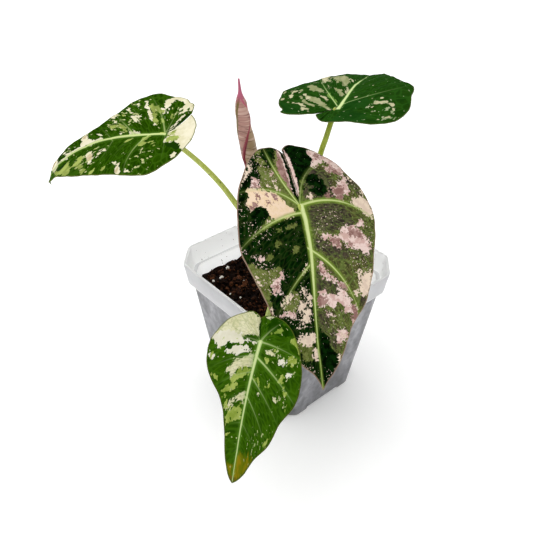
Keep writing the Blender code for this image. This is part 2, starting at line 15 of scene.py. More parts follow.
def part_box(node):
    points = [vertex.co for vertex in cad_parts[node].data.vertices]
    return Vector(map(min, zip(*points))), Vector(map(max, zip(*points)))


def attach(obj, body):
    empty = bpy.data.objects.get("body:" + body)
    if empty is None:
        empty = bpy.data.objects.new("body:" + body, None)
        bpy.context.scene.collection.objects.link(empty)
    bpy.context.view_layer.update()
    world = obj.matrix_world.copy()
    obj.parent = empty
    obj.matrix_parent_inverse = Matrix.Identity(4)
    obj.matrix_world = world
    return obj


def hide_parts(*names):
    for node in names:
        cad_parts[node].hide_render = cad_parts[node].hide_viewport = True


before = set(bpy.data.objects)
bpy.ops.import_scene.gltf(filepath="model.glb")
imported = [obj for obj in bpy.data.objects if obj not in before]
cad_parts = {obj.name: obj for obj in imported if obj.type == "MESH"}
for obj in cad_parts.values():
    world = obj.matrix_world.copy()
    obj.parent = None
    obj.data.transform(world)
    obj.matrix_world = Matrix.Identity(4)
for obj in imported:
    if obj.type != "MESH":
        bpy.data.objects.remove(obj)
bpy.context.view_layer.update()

# Pot: a square tapered nursery pot with cut corners, a deeper band round its rim and four corner
# feet. Frosted polypropylene, injection moulded in one thin wall. It stands on the floor and holds
# the rest.

MM = 0.001
POT_HEIGHT = 90.0
RIM_HALF = 50.0
RIM_CUT = 13.4
BAND_HEIGHT = 14.2
BAND_DRAFT = 1.6
# Half the width and the cut off each corner, where the body meets the band and at its foot.
BODY_TOP = (45.9, 12.8)
BODY_FOOT = (37.5, 14.9)
WALL = 1.2
RIM_LIP = 1.5
CORNER_RADIUS = 2.6
CORNER_STEPS = 5
FLOOR_RISE = 2.6
FOOT_INNER_EDGE = 14.0
DRAIN_RADIUS = 3.5
DRAIN_SPACING = 20.0
CUT_MARGIN = 2.0
EDGE_ROUNDING = 0.35

pot_low, pot_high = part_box("pot")
pot_axis = (pot_low + pot_high) / 2 / MM


def to_frame(points, turn=0.0):
    """Points in mm round the pot's axis, turned about it, as metres in the part's frame."""
    points = np.asarray(points, float)
    c, s = math.cos(turn), math.sin(turn)
    x = c * points[..., 0] - s * points[..., 1] + pot_axis.x
    y = s * points[..., 0] + c * points[..., 1] + pot_axis.y
    return np.stack([x, y, points[..., 2]], -1) * MM


def make_piece(name, points, faces, turn=0.0, sharp_over=40.0):
    """A named mesh object from points in mm, smooth but for its sharper edges."""
    mesh = bpy.data.meshes.new(name)
    mesh.from_pydata(to_frame(points, turn).tolist(), [], faces)
    mesh.update()
    mesh.shade_smooth()
    mesh.set_sharp_from_angle(angle=math.radians(sharp_over))
    piece = bpy.data.objects.new(name, mesh)
    bpy.context.scene.collection.objects.link(piece)
    return piece


def apply_modifiers(piece):
    """Applies all of a piece's modifiers in their order."""
    bpy.ops.object.select_all(action="DESELECT")
    piece.select_set(True)
    bpy.context.view_layer.objects.active = piece
    for modifier in list(piece.modifiers):
        bpy.ops.object.modifier_apply(modifier=modifier.name)


def loft_faces(rings, around):
    """Faces of a closed body through rings of equally many points, with flat ends."""
    index = np.arange(rings * around).reshape(rings, around)
    lower, upper = index[:-1], index[1:]
    quads = np.stack([lower, np.roll(lower, -1, 1), np.roll(upper, -1, 1), upper], -1).reshape(-1, 4)
    return quads.tolist() + [index[0][::-1].tolist(), index[-1].tolist()]


def colour(hex_code):
    """An sRGB hex value as linear RGBA."""
    channels = [int(hex_code[i:i + 2], 16) / 255 for i in (1, 3, 5)]
    return (*(c / 12.92 if c <= 0.04045 else ((c + 0.055) / 1.055) ** 2.4 for c in channels), 1.0)


def set_inputs(node, inputs):
    """Gives a shader node's inputs, by name or number, a value or a link each."""
    for socket, value in inputs.items():
        if isinstance(value, bpy.types.NodeSocket):
            node.id_data.links.new(value, node.inputs[socket])
        else:
            node.inputs[socket].default_value = value


def add_node(tree, kind, inputs=None, output=0, **settings):
    """Adds a shader node with its settings, values and links, and returns one of its outputs."""
    node = tree.nodes.new("ShaderNode" + kind)
    for name, value in settings.items():
        setattr(node, name, value)
    set_inputs(node, inputs or {})
    return node.outputs[output]


def start_material(name, constants):
    """A new Principled material with constants on its sockets. Returns it, its tree and its shader."""
    material = bpy.data.materials.new(name)
    material.use_nodes = True
    shader = material.node_tree.nodes["Principled BSDF"]
    set_inputs(shader, constants)
    return material, material.node_tree, shader


def finish_piece(piece, material, node):
    """Gives a piece its material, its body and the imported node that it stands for."""
    piece.data.materials.clear()
    piece.data.materials.append(material)
    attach(piece, "root")
    if node:
        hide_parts(node)


def rounded_square(half, cut, height):
    """A level square with cut corners, each of its eight corners rounded by a small arc."""
    corners = [(half, half - cut), (half - cut, half), (cut - half, half), (-half, half - cut),
               (-half, cut - half), (cut - half, -half), (half - cut, -half), (half, cut - half)]
    ring = []
    for i, corner in enumerate(corners):
        corner = Vector(corner)
        before = (Vector(corners[i - 1]) - corner).normalized() * CORNER_RADIUS
        after = (Vector(corners[(i + 1) % 8]) - corner).normalized() * CORNER_RADIUS
        for step in range(CORNER_STEPS + 1):
            s = step / CORNER_STEPS
            ring.append((*(corner + before * (1 - s) ** 2 + after * s ** 2), height))
    return ring


def inset(half, cut, distance):
    """The square that lies a distance inside another."""
    return half - distance, cut - (2 - math.sqrt(2)) * distance


def pot_size_at(height):
    """Half width and corner cut of the pot's body outside, at a height below its band."""
    share = height / (POT_HEIGHT - BAND_HEIGHT)
    return tuple(foot + (top - foot) * share for foot, top in zip(BODY_FOOT, BODY_TOP))


ledge = POT_HEIGHT - BAND_HEIGHT
floor_top = FLOOR_RISE + WALL
band_foot = (RIM_HALF - BAND_DRAFT, RIM_CUT)
rim = (RIM_HALF, RIM_CUT)
pot_profile = [
    (0, inset(*pot_size_at(0), 0.9)), (0.25, inset(*pot_size_at(0), 0.3)), (0.9, pot_size_at(0.9)),
    (ledge - 0.1, pot_size_at(ledge)), (ledge, inset(*band_foot, 0.7)),
    (ledge + 0.2, inset(*band_foot, 0.2)), (ledge + 0.8, band_foot),
    (POT_HEIGHT - 0.7, rim), (POT_HEIGHT - 0.2, inset(*rim, 0.15)), (POT_HEIGHT, inset(*rim, 0.5)),
    (POT_HEIGHT, inset(*rim, RIM_LIP - 0.3)), (POT_HEIGHT - 0.3, inset(*rim, RIM_LIP)),
    (POT_HEIGHT - 1.5, inset(*rim, RIM_LIP + 0.1)),
    (ledge + WALL + 0.4, inset(*band_foot, WALL)), (ledge + WALL, inset(*band_foot, WALL + 0.4)),
    (ledge + WALL, inset(*pot_size_at(ledge), WALL - 0.2)),
    (ledge + WALL - 0.5, inset(*pot_size_at(ledge), WALL)),
    (floor_top + 1, inset(*pot_size_at(floor_top + 1), WALL)),
    (floor_top, inset(*pot_size_at(floor_top), WALL + 1)),
]
pot_rings = np.array([rounded_square(*size, height) for height, size in pot_profile])
pot = make_piece("frosted_pot", pot_rings.reshape(-1, 3), loft_faces(*pot_rings.shape[:2]))

cutters = []
foot_reach = BODY_FOOT[0] + CUT_MARGIN
for half_x, half_y in ((foot_reach, FOOT_INNER_EDGE), (FOOT_INNER_EDGE, foot_reach)):
    bpy.ops.object.select_all(action="DESELECT")
    bpy.ops.mesh.primitive_cube_add(size=2 * MM, location=to_frame((0, 0, (FLOOR_RISE - CUT_MARGIN) / 2)),
                                    scale=(half_x, half_y, (FLOOR_RISE + CUT_MARGIN) / 2))
    cutters.append(bpy.context.object)
for x, y in ((0, 0), (1, 0), (0, 1), (-1, 0), (0, -1)):
    bpy.ops.object.select_all(action="DESELECT")
    centre = (DRAIN_SPACING * x, DRAIN_SPACING * y, FLOOR_RISE)
    bpy.ops.mesh.primitive_cylinder_add(vertices=32, radius=DRAIN_RADIUS * MM, depth=4 * WALL * MM,
                                        location=to_frame(centre))
    cutters.append(bpy.context.object)
for cutter in cutters:
    hole = pot.modifiers.new("hole", "BOOLEAN")
    hole.operation = "DIFFERENCE"
    hole.solver = "EXACT"
    hole.object = cutter
softened = pot.modifiers.new("softened", "BEVEL")
softened.width = EDGE_ROUNDING * MM
softened.segments = 2
softened.limit_method = "ANGLE"
softened.angle_limit = math.radians(50)
apply_modifiers(pot)
for cutter in cutters:
    bpy.data.objects.remove(cutter)
pot.data.shade_smooth()
pot.data.set_sharp_from_angle(angle=math.radians(40))

# Frosted polypropylene: milky, half clear and satin. The band has only air behind it and reads pale, while
# the dark mix shows through the body as cloudy grey. For the light that comes through the walls, the band is
# painted paler on its inner faces than on its outer ones, and the inner faces get a painted glow. Crumbs of
# mix stick to the band inside.
CLOUD = 9.0
STREAK = 4.0
STUCK_CRUMB = 2.4
GLOW = 0.11
# Heights between which the mix comes to show through the wall, the foot gets painted shade, the lip gets a
# painted highlight and the painted glow deepens.
MIX_SHOWS = (77.0, 72.0)
FOOT_SHADE = (3.0, 0.5)
LIP_LIGHT = (89.3, 89.8)
GLOW_DEEPENS = (78.0, 75.0)
BRIM_LIGHT = 0.6
COLOURS = {"output": 2, "data_type": "RGBA"}
TIMES = {"operation": "MULTIPLY"}
LESS = {"operation": "SUBTRACT", "use_clamp": True}
frosted, tree, shader = start_material("frosted_polypropylene", {"Roughness": 0.4, "IOR": 1.45,
                                                                 "Transmission Weight": 0.6})
place = add_node(tree, "TexCoord", output="Object")
height = add_node(tree, "SeparateXYZ", {"Vector": place}, "Z")
outward = add_node(tree, "VectorMath", {0: place, 1: (pot_axis.x * MM, pot_axis.y * MM, 0)},
                   operation="SUBTRACT")
level = add_node(tree, "VectorMath", {0: outward, 1: (1, 1, 0)}, operation="MULTIPLY")
facing = add_node(tree, "NewGeometry", output="True Normal")
facing_out = add_node(tree, "VectorMath", {0: level, 1: facing}, "Value", operation="DOT_PRODUCT")
inside = add_node(tree, "MapRange", {"Value": facing_out, "From Min": -5 * MM, "From Max": -20 * MM})

upright = add_node(tree, "Mapping", {"Vector": place, "Scale": (1, 1, 0.45)})
clouds = add_node(tree, "TexNoise", {"Vector": upright, "Scale": 1 / (CLOUD * MM), "Detail": 3.0})
streaks = add_node(tree, "TexNoise", {"Vector": place, "Scale": 1 / (STREAK * MM), "Detail": 4.0,
                                      "Distortion": 0.6})
cloudy = add_node(tree, "Mix", {0: 0.4, 2: clouds, 3: streaks})
body_shades = add_node(tree, "ValToRGB", {"Fac": cloudy})
stops = body_shades.node.color_ramp.elements
for position, tone in ((0.38, "#6a6a6e"), (0.5, "#929298"), (0.66, "#c8c8cd")):
    stops.new(position).color = colour(tone)
stops.remove(stops[0])
stops.remove(stops[-1])
# Painted light: the band's inner faces are painted paler than its outer faces, for the light that comes
# through the wall.
band_lit_inside = add_node(tree, "Mix", {0: cloudy, 6: colour("#ededee"), 7: colour("#fcfcfc")}, **COLOURS)
band_shaded_outside = add_node(tree, "Mix", {0: cloudy, 6: colour("#cfcfd2"), 7: colour("#ececee")}, **COLOURS)
band = add_node(tree, "Mix", {0: inside, 6: band_shaded_outside, 7: band_lit_inside}, **COLOURS)

# The lip and the lower edge of the band are painted white as painted highlights, and the foot gets painted
# shade.
filled, painted_foot_shade, lip_highlight, deeper = (
    add_node(tree, "MapRange", {"Value": height, "From Min": start * MM, "From Max": end * MM, "To Min": low,
                                "To Max": high}, interpolation_type=ease)
    for (start, end), low, high, ease in (
        (MIX_SHOWS, 0, 1, "SMOOTHSTEP"), (FOOT_SHADE, 0, 1, "SMOOTHSTEP"), (LIP_LIGHT, 0, 1, "LINEAR"),
        (GLOW_DEEPENS, GLOW, 1.8 * GLOW, "LINEAR")))
filled = add_node(tree, "Math", {0: filled, 1: inside}, **LESS)
brim_highlight = add_node(tree, "Math", {0: height, 1: (ledge + 0.5) * MM, 2: BRIM_LIGHT * MM}, operation="COMPARE")
lip_highlight = add_node(tree, "Math", {0: lip_highlight, 1: brim_highlight}, operation="MAXIMUM")
crumb = add_node(tree, "TexNoise", {"Vector": place, "Scale": 1 / (STUCK_CRUMB * MM), "Detail": 1.0})
stuck = add_node(tree, "MapRange", {"Value": crumb, "From Min": 0.695, "From Max": 0.76, "To Max": 0.7})
stuck = add_node(tree, "Math", {0: stuck, 1: inside}, **TIMES)
wall = add_node(tree, "Mix", {0: filled, 6: band, 7: body_shades}, **COLOURS)
# Over the wall go painted shade at the foot, painted highlights on the lip and the brim, and the real crumbs
# stuck inside.
for share, tone in ((painted_foot_shade, "#8b8987"), (lip_highlight, "#ffffff"), (stuck, "#4c3c2e")):
    wall = add_node(tree, "Mix", {0: share, 6: wall, 7: colour(tone)}, **COLOURS)
# Painted glow: the inner faces give off the band's colour as light, more of it lower down, but not under
# stuck crumbs.
glow = add_node(tree, "Math", {0: inside, 1: stuck}, **LESS)
glow = add_node(tree, "Math", {0: glow, 1: deeper}, **TIMES)
set_inputs(shader, {"Base Color": wall, "Emission Color": band, "Emission Strength": glow})
finish_piece(pot, frosted, "pot")

# Potting mix: coarse composted bark and peat, damp and dark, filled to about 20 mm below the rim. A
# lumpy bed carries loose bark chips, crumbs and white perlite grains.

PLANT_TURN = math.radians(48.5)
MIX_LEVEL = 69.0
MIX_RELIEF = 1.7
MIX_GAP = 0.3
BED_RINGS = 44
BED_STEP = 1.6
# Chips and crumbs: their number, their half lengths, and how far from the axis they lie, with the lift
# of their middles above the bed and its spread.
CHIPS = 520
CHIP_HALF_LENGTHS = ((1.2, 2.7), (1.0, 1.7), (0.8, 1.4))
CHIP_BED = (42.2, 0.35, 0.9)
CRUMBS = 1500
CRUMB_SHAPE = (1.0, 0.8, 0.7)
CRUMB_HALF_LENGTH = (0.4, 1.25)
CRUMB_BED = (42.8, 0.5, 0.8)
CROWN_CLEAR = 9.0
CORNER_SHARE = 1.61
# Perlite grains, each by its place in the plant's frame and its radius.
PERLITE = ((-36.7, 16.7, 1.3), (-40.0, 6.8, 1.35), (-33.8, -9.0, 0.6), (-26.0, 3.1, 0.65),
           (-27.5, -12.0, 0.6), (-45.0, 3.3, 0.8), (20.0, 34.0, 1.2), (33.0, 12.0, 0.9),
           (26.0, -20.0, 1.3), (-8.0, 38.0, 0.8), (12.0, 44.0, 1.1))
GRAIN_LIFT = 1.1


def bed_height(x, y):
    """The height of the mix's lumpy bed at a place."""
    lumps = noise.noise(Vector((x / 7, y / 7, 0.5)))
    crumbs = noise.noise(Vector((x / 3, y / 3, 4.5)))
    return MIX_LEVEL + MIX_RELIEF * (lumps + 0.6 * crumbs)


def mix_places(count, reach, lift, spread, draw):
    """Random places on the bed, clear of the plant's crown and the pot's cut corners."""
    places = []
    while len(places) < count:
        x, y = draw.uniform(-reach, reach), draw.uniform(-reach, reach)
        if math.hypot(x, y) > CROWN_CLEAR and abs(x) + abs(y) < CORNER_SHARE * reach:
            places.append((x, y, bed_height(x, y) + lift + draw.uniform(-spread, spread)))
    return np.array(places)


def random_turn(draw, lean):
    """A random turn about Z after a lean of up to some degrees."""
    tilt = Matrix.Rotation(math.radians(draw.uniform(-lean, lean)), 3, "X")
    roll = Matrix.Rotation(math.radians(draw.uniform(-lean, lean)), 3, "Y")
    return np.array(Matrix.Rotation(draw.uniform(0, 2 * math.pi), 3, "Z") @ tilt @ roll)


def lump_template(subdivisions, roughness, draw):
    """Points and faces of a small ball with an uneven surface."""
    bm = bmesh.new()
    bmesh.ops.create_icosphere(bm, subdivisions=subdivisions, radius=1.0)
    points = np.array([vert.co for vert in bm.verts])
    faces = np.array([[vert.index for vert in face.verts] for face in bm.faces])
    bm.free()
    shift = Vector([draw.uniform(-50, 50) for _ in range(3)])
    swell = np.array([noise.noise(Vector(point) * 1.4 + shift) for point in points])
    return points * (1 + roughness * swell[:, None]), faces


def scatter(places, sizes, lean, templates, draw):
    """Copies of uneven lumps at places, each stretched to its size, and a random tone for each."""
    points, faces, tones, start = [], [], [], 0
    for place, size in zip(places, sizes):
        shape, triangles = draw.choice(templates)
        points.append(shape * size @ random_turn(draw, lean).T + place)
        faces.append(triangles + start)
        tones.append(np.full(len(shape), draw.random()))
        start += len(shape)
    return np.concatenate(points), np.concatenate(faces).tolist(), np.concatenate(tones)


def keep_numbers(piece, key, values):
    """Gives each point of a piece a number that its material reads."""
    store = piece.data.attributes.new(key, "FLOAT", "POINT")
    store.data.foreach_set("value", np.asarray(values, np.float32).ravel())


# The bed's rings shrink from the pot's inner wall to its axis, and a ring at the pot's floor closes it.
corner_ring, foot_corners = (np.array(rounded_square(*inset(*pot_size_at(level), WALL + MIX_GAP), 0))
                             for level in (MIX_LEVEL, floor_top + MIX_GAP))
outline, foot_ring = [], []
for i, corner in enumerate(corner_ring):
    steps = max(1, round(math.dist(corner, corner_ring[i - 1]) / BED_STEP))
    for share in np.arange(steps) / steps:
        outline.append(corner_ring[i - 1] + (corner - corner_ring[i - 1]) * share)
        foot_ring.append(foot_corners[i - 1] + (foot_corners[i] - foot_corners[i - 1]) * share)
outline, foot_ring = np.array(outline), np.array(foot_ring)
bed_rings = []
for share in np.linspace(0.02, 1, BED_RINGS):
    ring = outline * share
    ring[:, 2] = [bed_height(x, y) for x, y, _ in ring]
    bed_rings.append(ring)
foot_ring[:, 2] = floor_top + MIX_GAP
bed_points = np.concatenate([*bed_rings, foot_ring])
bed_faces = loft_faces(BED_RINGS + 1, len(outline))

draw = random.Random(7)
chip_templates = [lump_template(2, 0.9, draw) for _ in range(8)]
crumb_templates = [lump_template(1, 0.8, draw) for _ in range(5)]
chip_sizes = [[draw.uniform(*limits) for limits in CHIP_HALF_LENGTHS] for _ in range(CHIPS)]
crumb_sizes = [np.array(CRUMB_SHAPE) * draw.uniform(*CRUMB_HALF_LENGTH) for _ in range(CRUMBS)]
chips = scatter(mix_places(CHIPS, *CHIP_BED, draw), chip_sizes, 50, chip_templates, draw)
crumbs = scatter(mix_places(CRUMBS, *CRUMB_BED, draw), crumb_sizes, 90, crumb_templates, draw)
bed = (bed_points, bed_faces, np.full(len(bed_points), 0.3))
points, faces, tones = zip(bed, chips, crumbs)
starts = np.cumsum([0] + [len(group) for group in points])
mix_faces = [[int(i + start) for i in face] for group, start in zip(faces, starts) for face in group]
mix = make_piece("bark_mix", np.concatenate(points), mix_faces, sharp_over=60)
keep_numbers(mix, "tone", np.concatenate(tones))

# Composted bark and peat, damp: red-brown and fibrous on the chips, and painted shade makes it nearly black
# in its hollows.
BARK_FIBRE = 0.8
TIMES_PLUS = {"operation": "MULTIPLY_ADD"}
bark, tree, shader = start_material("composted_bark", {"Roughness": 0.7, "Specular IOR Level": 0.05})
place = add_node(tree, "TexCoord", output="Object")
own_tone = add_node(tree, "Attribute", output="Fac", attribute_name="tone")
fibre = add_node(tree, "TexNoise", {"Vector": place, "Scale": 1 / (BARK_FIBRE * MM), "Detail": 4.0,
                                    "Roughness": 0.65})
both = add_node(tree, "Math", {0: own_tone, 1: 0.46, 2: fibre}, **TIMES_PLUS)
browns = add_node(tree, "ValToRGB", {"Fac": both})
stops = browns.node.color_ramp.elements
stops[0].position = 0.5
stops.new(0.76)
for stop, tone in zip(stops, ("#0b0502", "#27140c", "#6b4029")):
    stop.color = colour(tone)
level = add_node(tree, "SeparateXYZ", {"Vector": place}, "Z")
# Painted shade: lower down on the bed the mix darkens towards nearly black.
painted_hollow_shade = add_node(tree, "MapRange", {"Value": level, "From Min": (MIX_LEVEL + 1.7) * MM,
                                     "From Max": (MIX_LEVEL - 1.2) * MM, "To Max": 0.9})
shaded = add_node(tree, "Mix", {0: painted_hollow_shade, 6: browns, 7: colour("#040201")}, **COLOURS)
relief = add_node(tree, "Bump", {"Height": fibre, "Strength": 0.6, "Distance": 0.5 * MM})
set_inputs(shader, {"Base Color": shaded, "Normal": relief})
finish_piece(mix, bark, "potting_mix")

turn = np.array(Matrix.Rotation(PLANT_TURN, 3, "Z"))
grain_places = []
for x, y, _ in PERLITE:
    x, y, _ = turn @ (x, y, 0)
    grain_places.append((x, y, bed_height(x, y) + GRAIN_LIFT))
grain_templates = [lump_template(3, 0.35, draw) for _ in range(3)]
grain_points, grain_faces, _ = scatter(grain_places, [radius for _, _, radius in PERLITE], 90,
                                       grain_templates, draw)
perlite_grains = make_piece("perlite_grains", grain_points, grain_faces)

# Expanded perlite: chalk white volcanic glass, matt and finely pitted.
PERLITE_PIT = 0.5
perlite, tree, shader = start_material("expanded_perlite", {"Roughness": 0.85})
place = add_node(tree, "TexCoord", output="Object")
pits = add_node(tree, "TexNoise", {"Vector": place, "Scale": 1 / (PERLITE_PIT * MM), "Detail": 3.0})
whites = add_node(tree, "Mix", {0: pits, 6: colour("#dcd3c6"), 7: colour("#ffffff")}, **COLOURS)
relief = add_node(tree, "Bump", {"Height": pits, "Strength": 0.5, "Distance": 0.3 * MM})
set_inputs(shader, {"Base Color": whites, "Normal": relief})
finish_piece(perlite_grains, perlite, None)

# Leaf blades: four open, heart-shaped leaves, each a thin fleshy sheet that arches from its stalk,
# folds up a little from its midrib and swells between its veins. A chimera's cells grow in patches,
# so the green is marbled with cream, pink and olive.

BLADE = 0.45
MIDRIB_UNDER = 1.3
MIDRIB_HALF_WIDTH = 1.5
# Heights or depths and half widths: of the ridge over the midrib, of the gutters that run beside it at
# a distance, of the ribs under the side veins and of the grooves over them.
MIDRIB_CREST = (0.32, 0.85)
MIDRIB_GUTTERS = (0.2, 0.8, 2.0)
VEIN_UNDER = (0.35, 0.6)
VEIN_GROOVE = (0.14, 0.55)
RIB_TAPER = 0.6
ARCH_EASE = 1.2
VEIN_BOW = 0.16
SWELL = 0.6
SWELL_EDGE = 8.0
WAVE_REACH = 5.0
SLIT_DEPTH = 1.5
LAP_REACH = 2.5
EDGE_ROUND = 0.5
HOOK_FROM = 0.94
LEAF_SPECULAR = 0.0006
SMOOTH = {"interpolation_type": "SMOOTHSTEP"}
MARGIN_ANGLES = np.array((0, 1.5, 4, 9, 16, 26, 40, 58, 78, 98, 118, 138, 158, 170, 178), float)
LOBE_ANGLE = 118
COLUMNS_PER_CELL = 14
LINE_STEP = 0.25
SLOPE_STEP = 0.1
ROWS = np.unique([*np.linspace(0, 1, 61), 0.004, 0.008, 0.012, 0.025, 0.985, 0.992, 0.997])
OUTSIDE = -9.0
WELD = 0.002
SLIVER = 0.0005

# Each leaf in the plant's frame: where its stalk meets it, its midrib's length, its heading, pitch and
# roll in degrees, the arch down to its tip, the dip of its lobes and how far back they reach, the fold
# at its midrib with its curl per 10 mm, the twist and sway towards its tip, and the bend of its hooked
# tip. The slit between the lobes closes and leans by degrees, and one lobe laps the other. Ripple is
# the height and length of the waves along the edge, and midrib the half width of its pale band.
# rib_course is how far left of the middle the midrib runs, as (place along the leaf, offset).
# Each half has its margin as distances from the stalk at MARGIN_ANGLES from the tip. Its veins leave
# the midrib at the starts and meet the margin at the angles in veins. Bows are their bends as shares
# of their length, and weights their strengths.
LEAVES = {
    "front": dict(
        base=(4.9, -27.2, 144.1), length=95.5, heading=-77.0, pitch=38.0, roll=-16.5, arch=19.0,
        lobe_dip=22.0, lobe_reach=33.0, fold=13.0, curl=3.65, twist=2.0, sway=2.0, slit_close=3.2,
        slit_lap=0.7, slit_lean=0.0, ripple=(0.25, 17), hook=0.0, midrib=1.2,
        rib_course=((0, 0.7), (8, 1.6), (25, 1.6), (42, 0.2), (60, -1.2), (75, -1.6), (85, -0.8),
                    (95.5, 0)),
        left=dict(
            margin=(95.5, 92, 88, 79, 67.5, 61.5, 53, 46, 43.5, 40, 36.5, 37, 39, 41, 36),
            starts=(0, 0, 4, 13, 23, 38, 54, 70),
            veins=(139.5, 77, 66, 58, 21.5, 15, 9, 4.5),
            bows=(0.32, 0.28, 0.16, 0.05, 0.2, 0.16, 0.16, 0.16),
            weights=(0.45, 1, 0.12, 0.3, 1.0, 0.2, 0.15, 0.1)),
        right=dict(
            margin=(95.5, 91, 86.5, 82, 72, 61.5, 52, 46.5, 39.5, 36.5, 34.5, 35.5, 37.5, 37, 34.5),
            starts=(0, 0, 4, 12, 22, 32, 49, 68),
            veins=(160, 97, 59, 43, 32, 23.4, 12, 5),
            bows=(-0.2, 0.25, 0.14, 0.14, 0.12, 0.1, 0.16, 0.16),
            weights=(0.95, 0.7, 0.8, 0.15, 0.15, 0.6, 0.12, 0.1))),
    "low": dict(
        base=(-14.4, -96.0, 112.0), length=64.0, heading=-106.5, pitch=24.5, roll=-4.5, arch=22.0,
        lobe_dip=7.0, lobe_reach=19.0, fold=9.0, curl=7.5, twist=1.0, sway=8.0, slit_close=3.0,
        slit_lap=0.6, slit_lean=-13.0, ripple=(0.25, 13), hook=0.0, midrib=0.85,
        rib_course=((0, 0.1), (50, 0.4), (64, 0)),
        left=dict(
            margin=(64, 63, 60.5, 53.5, 48.5, 39.5, 34.5, 27, 21, 17.5, 16, 15, 14.5, 13.5, 12),
            starts=(0, 0, 7.5, 17, 26, 38, 50),
            veins=(146, 77, 40, 24, 15, 9, 4.5),
            bows=(0.1, 0.06, 0.06, 0.06, 0.08, 0.16, 0.16),
            weights=(0.5, 0.55, 0.7, 0.5, 0.45, 0.3, 0.2)),
        right=dict(
            margin=(64, 62, 56, 43, 34.5, 30, 28, 26, 23.5, 20.5, 18.5, 17, 16, 14, 12),
            starts=(0, 0, 7, 15, 25, 38, 50),
            veins=(132, 82, 48, 31, 19, 10, 5),
            bows=(0.12, 0.12, 0.12, 0.12, 0.12, 0.12, 0.12),
            weights=(0.3, 0.35, 0.4, 0.4, 0.3, 0.25, 0.2))),
    "left": dict(
        base=(-66.5, 1.0, 170.5), length=84.0, heading=181.5, pitch=2.5, roll=-12.0, arch=55.5,
        lobe_dip=-44.5, lobe_reach=26.0, fold=12.0, curl=4.5, twist=-6.0, sway=-5.5, slit_close=0,
        slit_lap=0, slit_lean=-32.5, ripple=(0.15, 15), hook=60.0, midrib=1.0,
        rib_course=((0, 0.6), (10, 0.2), (20, -0.7), (30, -1.6), (40, -2.1), (55, -2.3), (68, -2.6),
                    (76, -1.8), (84, 0)),
        left=dict(
            margin=(84, 79, 77, 66.5, 59.5, 52, 44, 38.5, 36.5, 28.5, 24.5, 21, 18, 18, 18),
            starts=(0, 0, 8, 17, 29, 45, 61),
            veins=(142, 88, 62, 48, 37, 20, 8),
            bows=(0.16, 0.07, -0.15, -0.11, 0.12, 0.16, 0.16),
            weights=(0.1, 0.3, 0.55, 0.25, 0.3, 0.12, 0.1)),
        right=dict(
            margin=(84, 79.5, 78, 64.5, 45, 38, 34, 34, 34.5, 30, 27, 24.5, 24, 21.5, 19),
            starts=(0, 0, 8, 16, 29, 45, 61),
            veins=(111, 72, 48, 33, 20, 11, 5.5),
            bows=(0.03, 0.1, 0.1, 0.03, 0.05, 0.16, 0.16),
            weights=(0.35, 0.5, 0.15, 0.55, 0.35, 0.15, 0.1))),
    "right": dict(
        base=(24.5, 25.0, 175.0), length=82.0, heading=64.5, pitch=-4.0, roll=-4.5, arch=20.5,
        lobe_dip=-17.0, lobe_reach=30.0, fold=13.5, curl=6.8, twist=-2.5, sway=9.0, slit_close=0,
        slit_lap=0, slit_lean=29.5, ripple=(0.2, 19), hook=0.0, midrib=1.3,
        rib_course=((0, -2.2), (5, -2.2), (10, -1.6), (20, -0.8), (30, 0), (40, 0.5), (50, 0), (60, -0.7),
                    (70, -0.5), (82, 0)),
        left=dict(
            margin=(82, 81, 78.5, 71.5, 61.5, 52, 44.5, 44.5, 37.5, 32.5, 29, 31, 27.5, 21, 16),
            starts=(0, 0, 5, 16, 29, 44, 60),
            veins=(128, 80, 28.6, 20, 14, 9, 4.5),
            bows=(0.16, 0.16, 0.1, 0.16, 0.16, 0.16, 0.16),
            weights=(0.2, 0.3, 0.75, 0.15, 0.1, 0.1, 0.1)),
        right=dict(
            margin=(82, 81.5, 79.5, 71, 62, 55, 53, 44, 41, 38, 35.5, 25.5, 20, 16, 13.5),
            starts=(0, 0, 5, 16, 29, 44, 60),
            veins=(140, 84, 39, 26, 17, 10, 5),
            bows=(0.16, 0.16, 0.1, 0.16, 0.16, 0.16, 0.16),
            weights=(0.1, 0.15, 0.5, 0.15, 0.1, 0.1, 0.1))),
}


def smooth_between(places, values, at):
    """A curve through values that never overshoots them (a monotone cubic)."""
    widths = np.diff(places)
    rises = np.diff(values) / widths
    slopes = np.concatenate([rises[:1], np.zeros(len(rises) - 1), rises[-1:]])
    for k, (before, after) in enumerate(zip(rises, rises[1:]), 1):
        slopes[k] = 2 * before * after / (before + after) if before * after > 0 else 0
    i = np.clip(np.searchsorted(places, at, side="right") - 1, 0, len(widths) - 1)
    t = (at - places[i]) / widths[i]
    value = values[i] * (1 - t) ** 2 * (1 + 2 * t) + values[i + 1] * t ** 2 * (3 - 2 * t)
    return value + widths[i] * (slopes[i] * t * (1 - t) ** 2 - slopes[i + 1] * t ** 2 * (1 - t))


def last_angle(leaf, side):
    """The angle of the slit's edge on one side: 1 is the left of the heading, -1 the right."""
    return MARGIN_ANGLES[-1] + leaf["slit_close"] - side * leaf["slit_lean"]


def margin_points(leaf, side, angles):
    """Points of the flat leaf's margin, across and along the midrib, at angles from the tip."""
    stretch = (last_angle(leaf, side) - LOBE_ANGLE) / (MARGIN_ANGLES[-1] - LOBE_ANGLE)
    places = np.where(MARGIN_ANGLES <= LOBE_ANGLE, MARGIN_ANGLES,
                      LOBE_ANGLE + (MARGIN_ANGLES - LOBE_ANGLE) * stretch)
    reach = np.log(leaf["left" if side > 0 else "right"]["margin"])
    angles = np.minimum(angles, last_angle(leaf, side))
    radius = np.exp(smooth_between(places, reach, angles))
    turns = np.radians(angles)
    return np.stack([side * radius * np.sin(turns), radius * np.cos(turns)], -1)


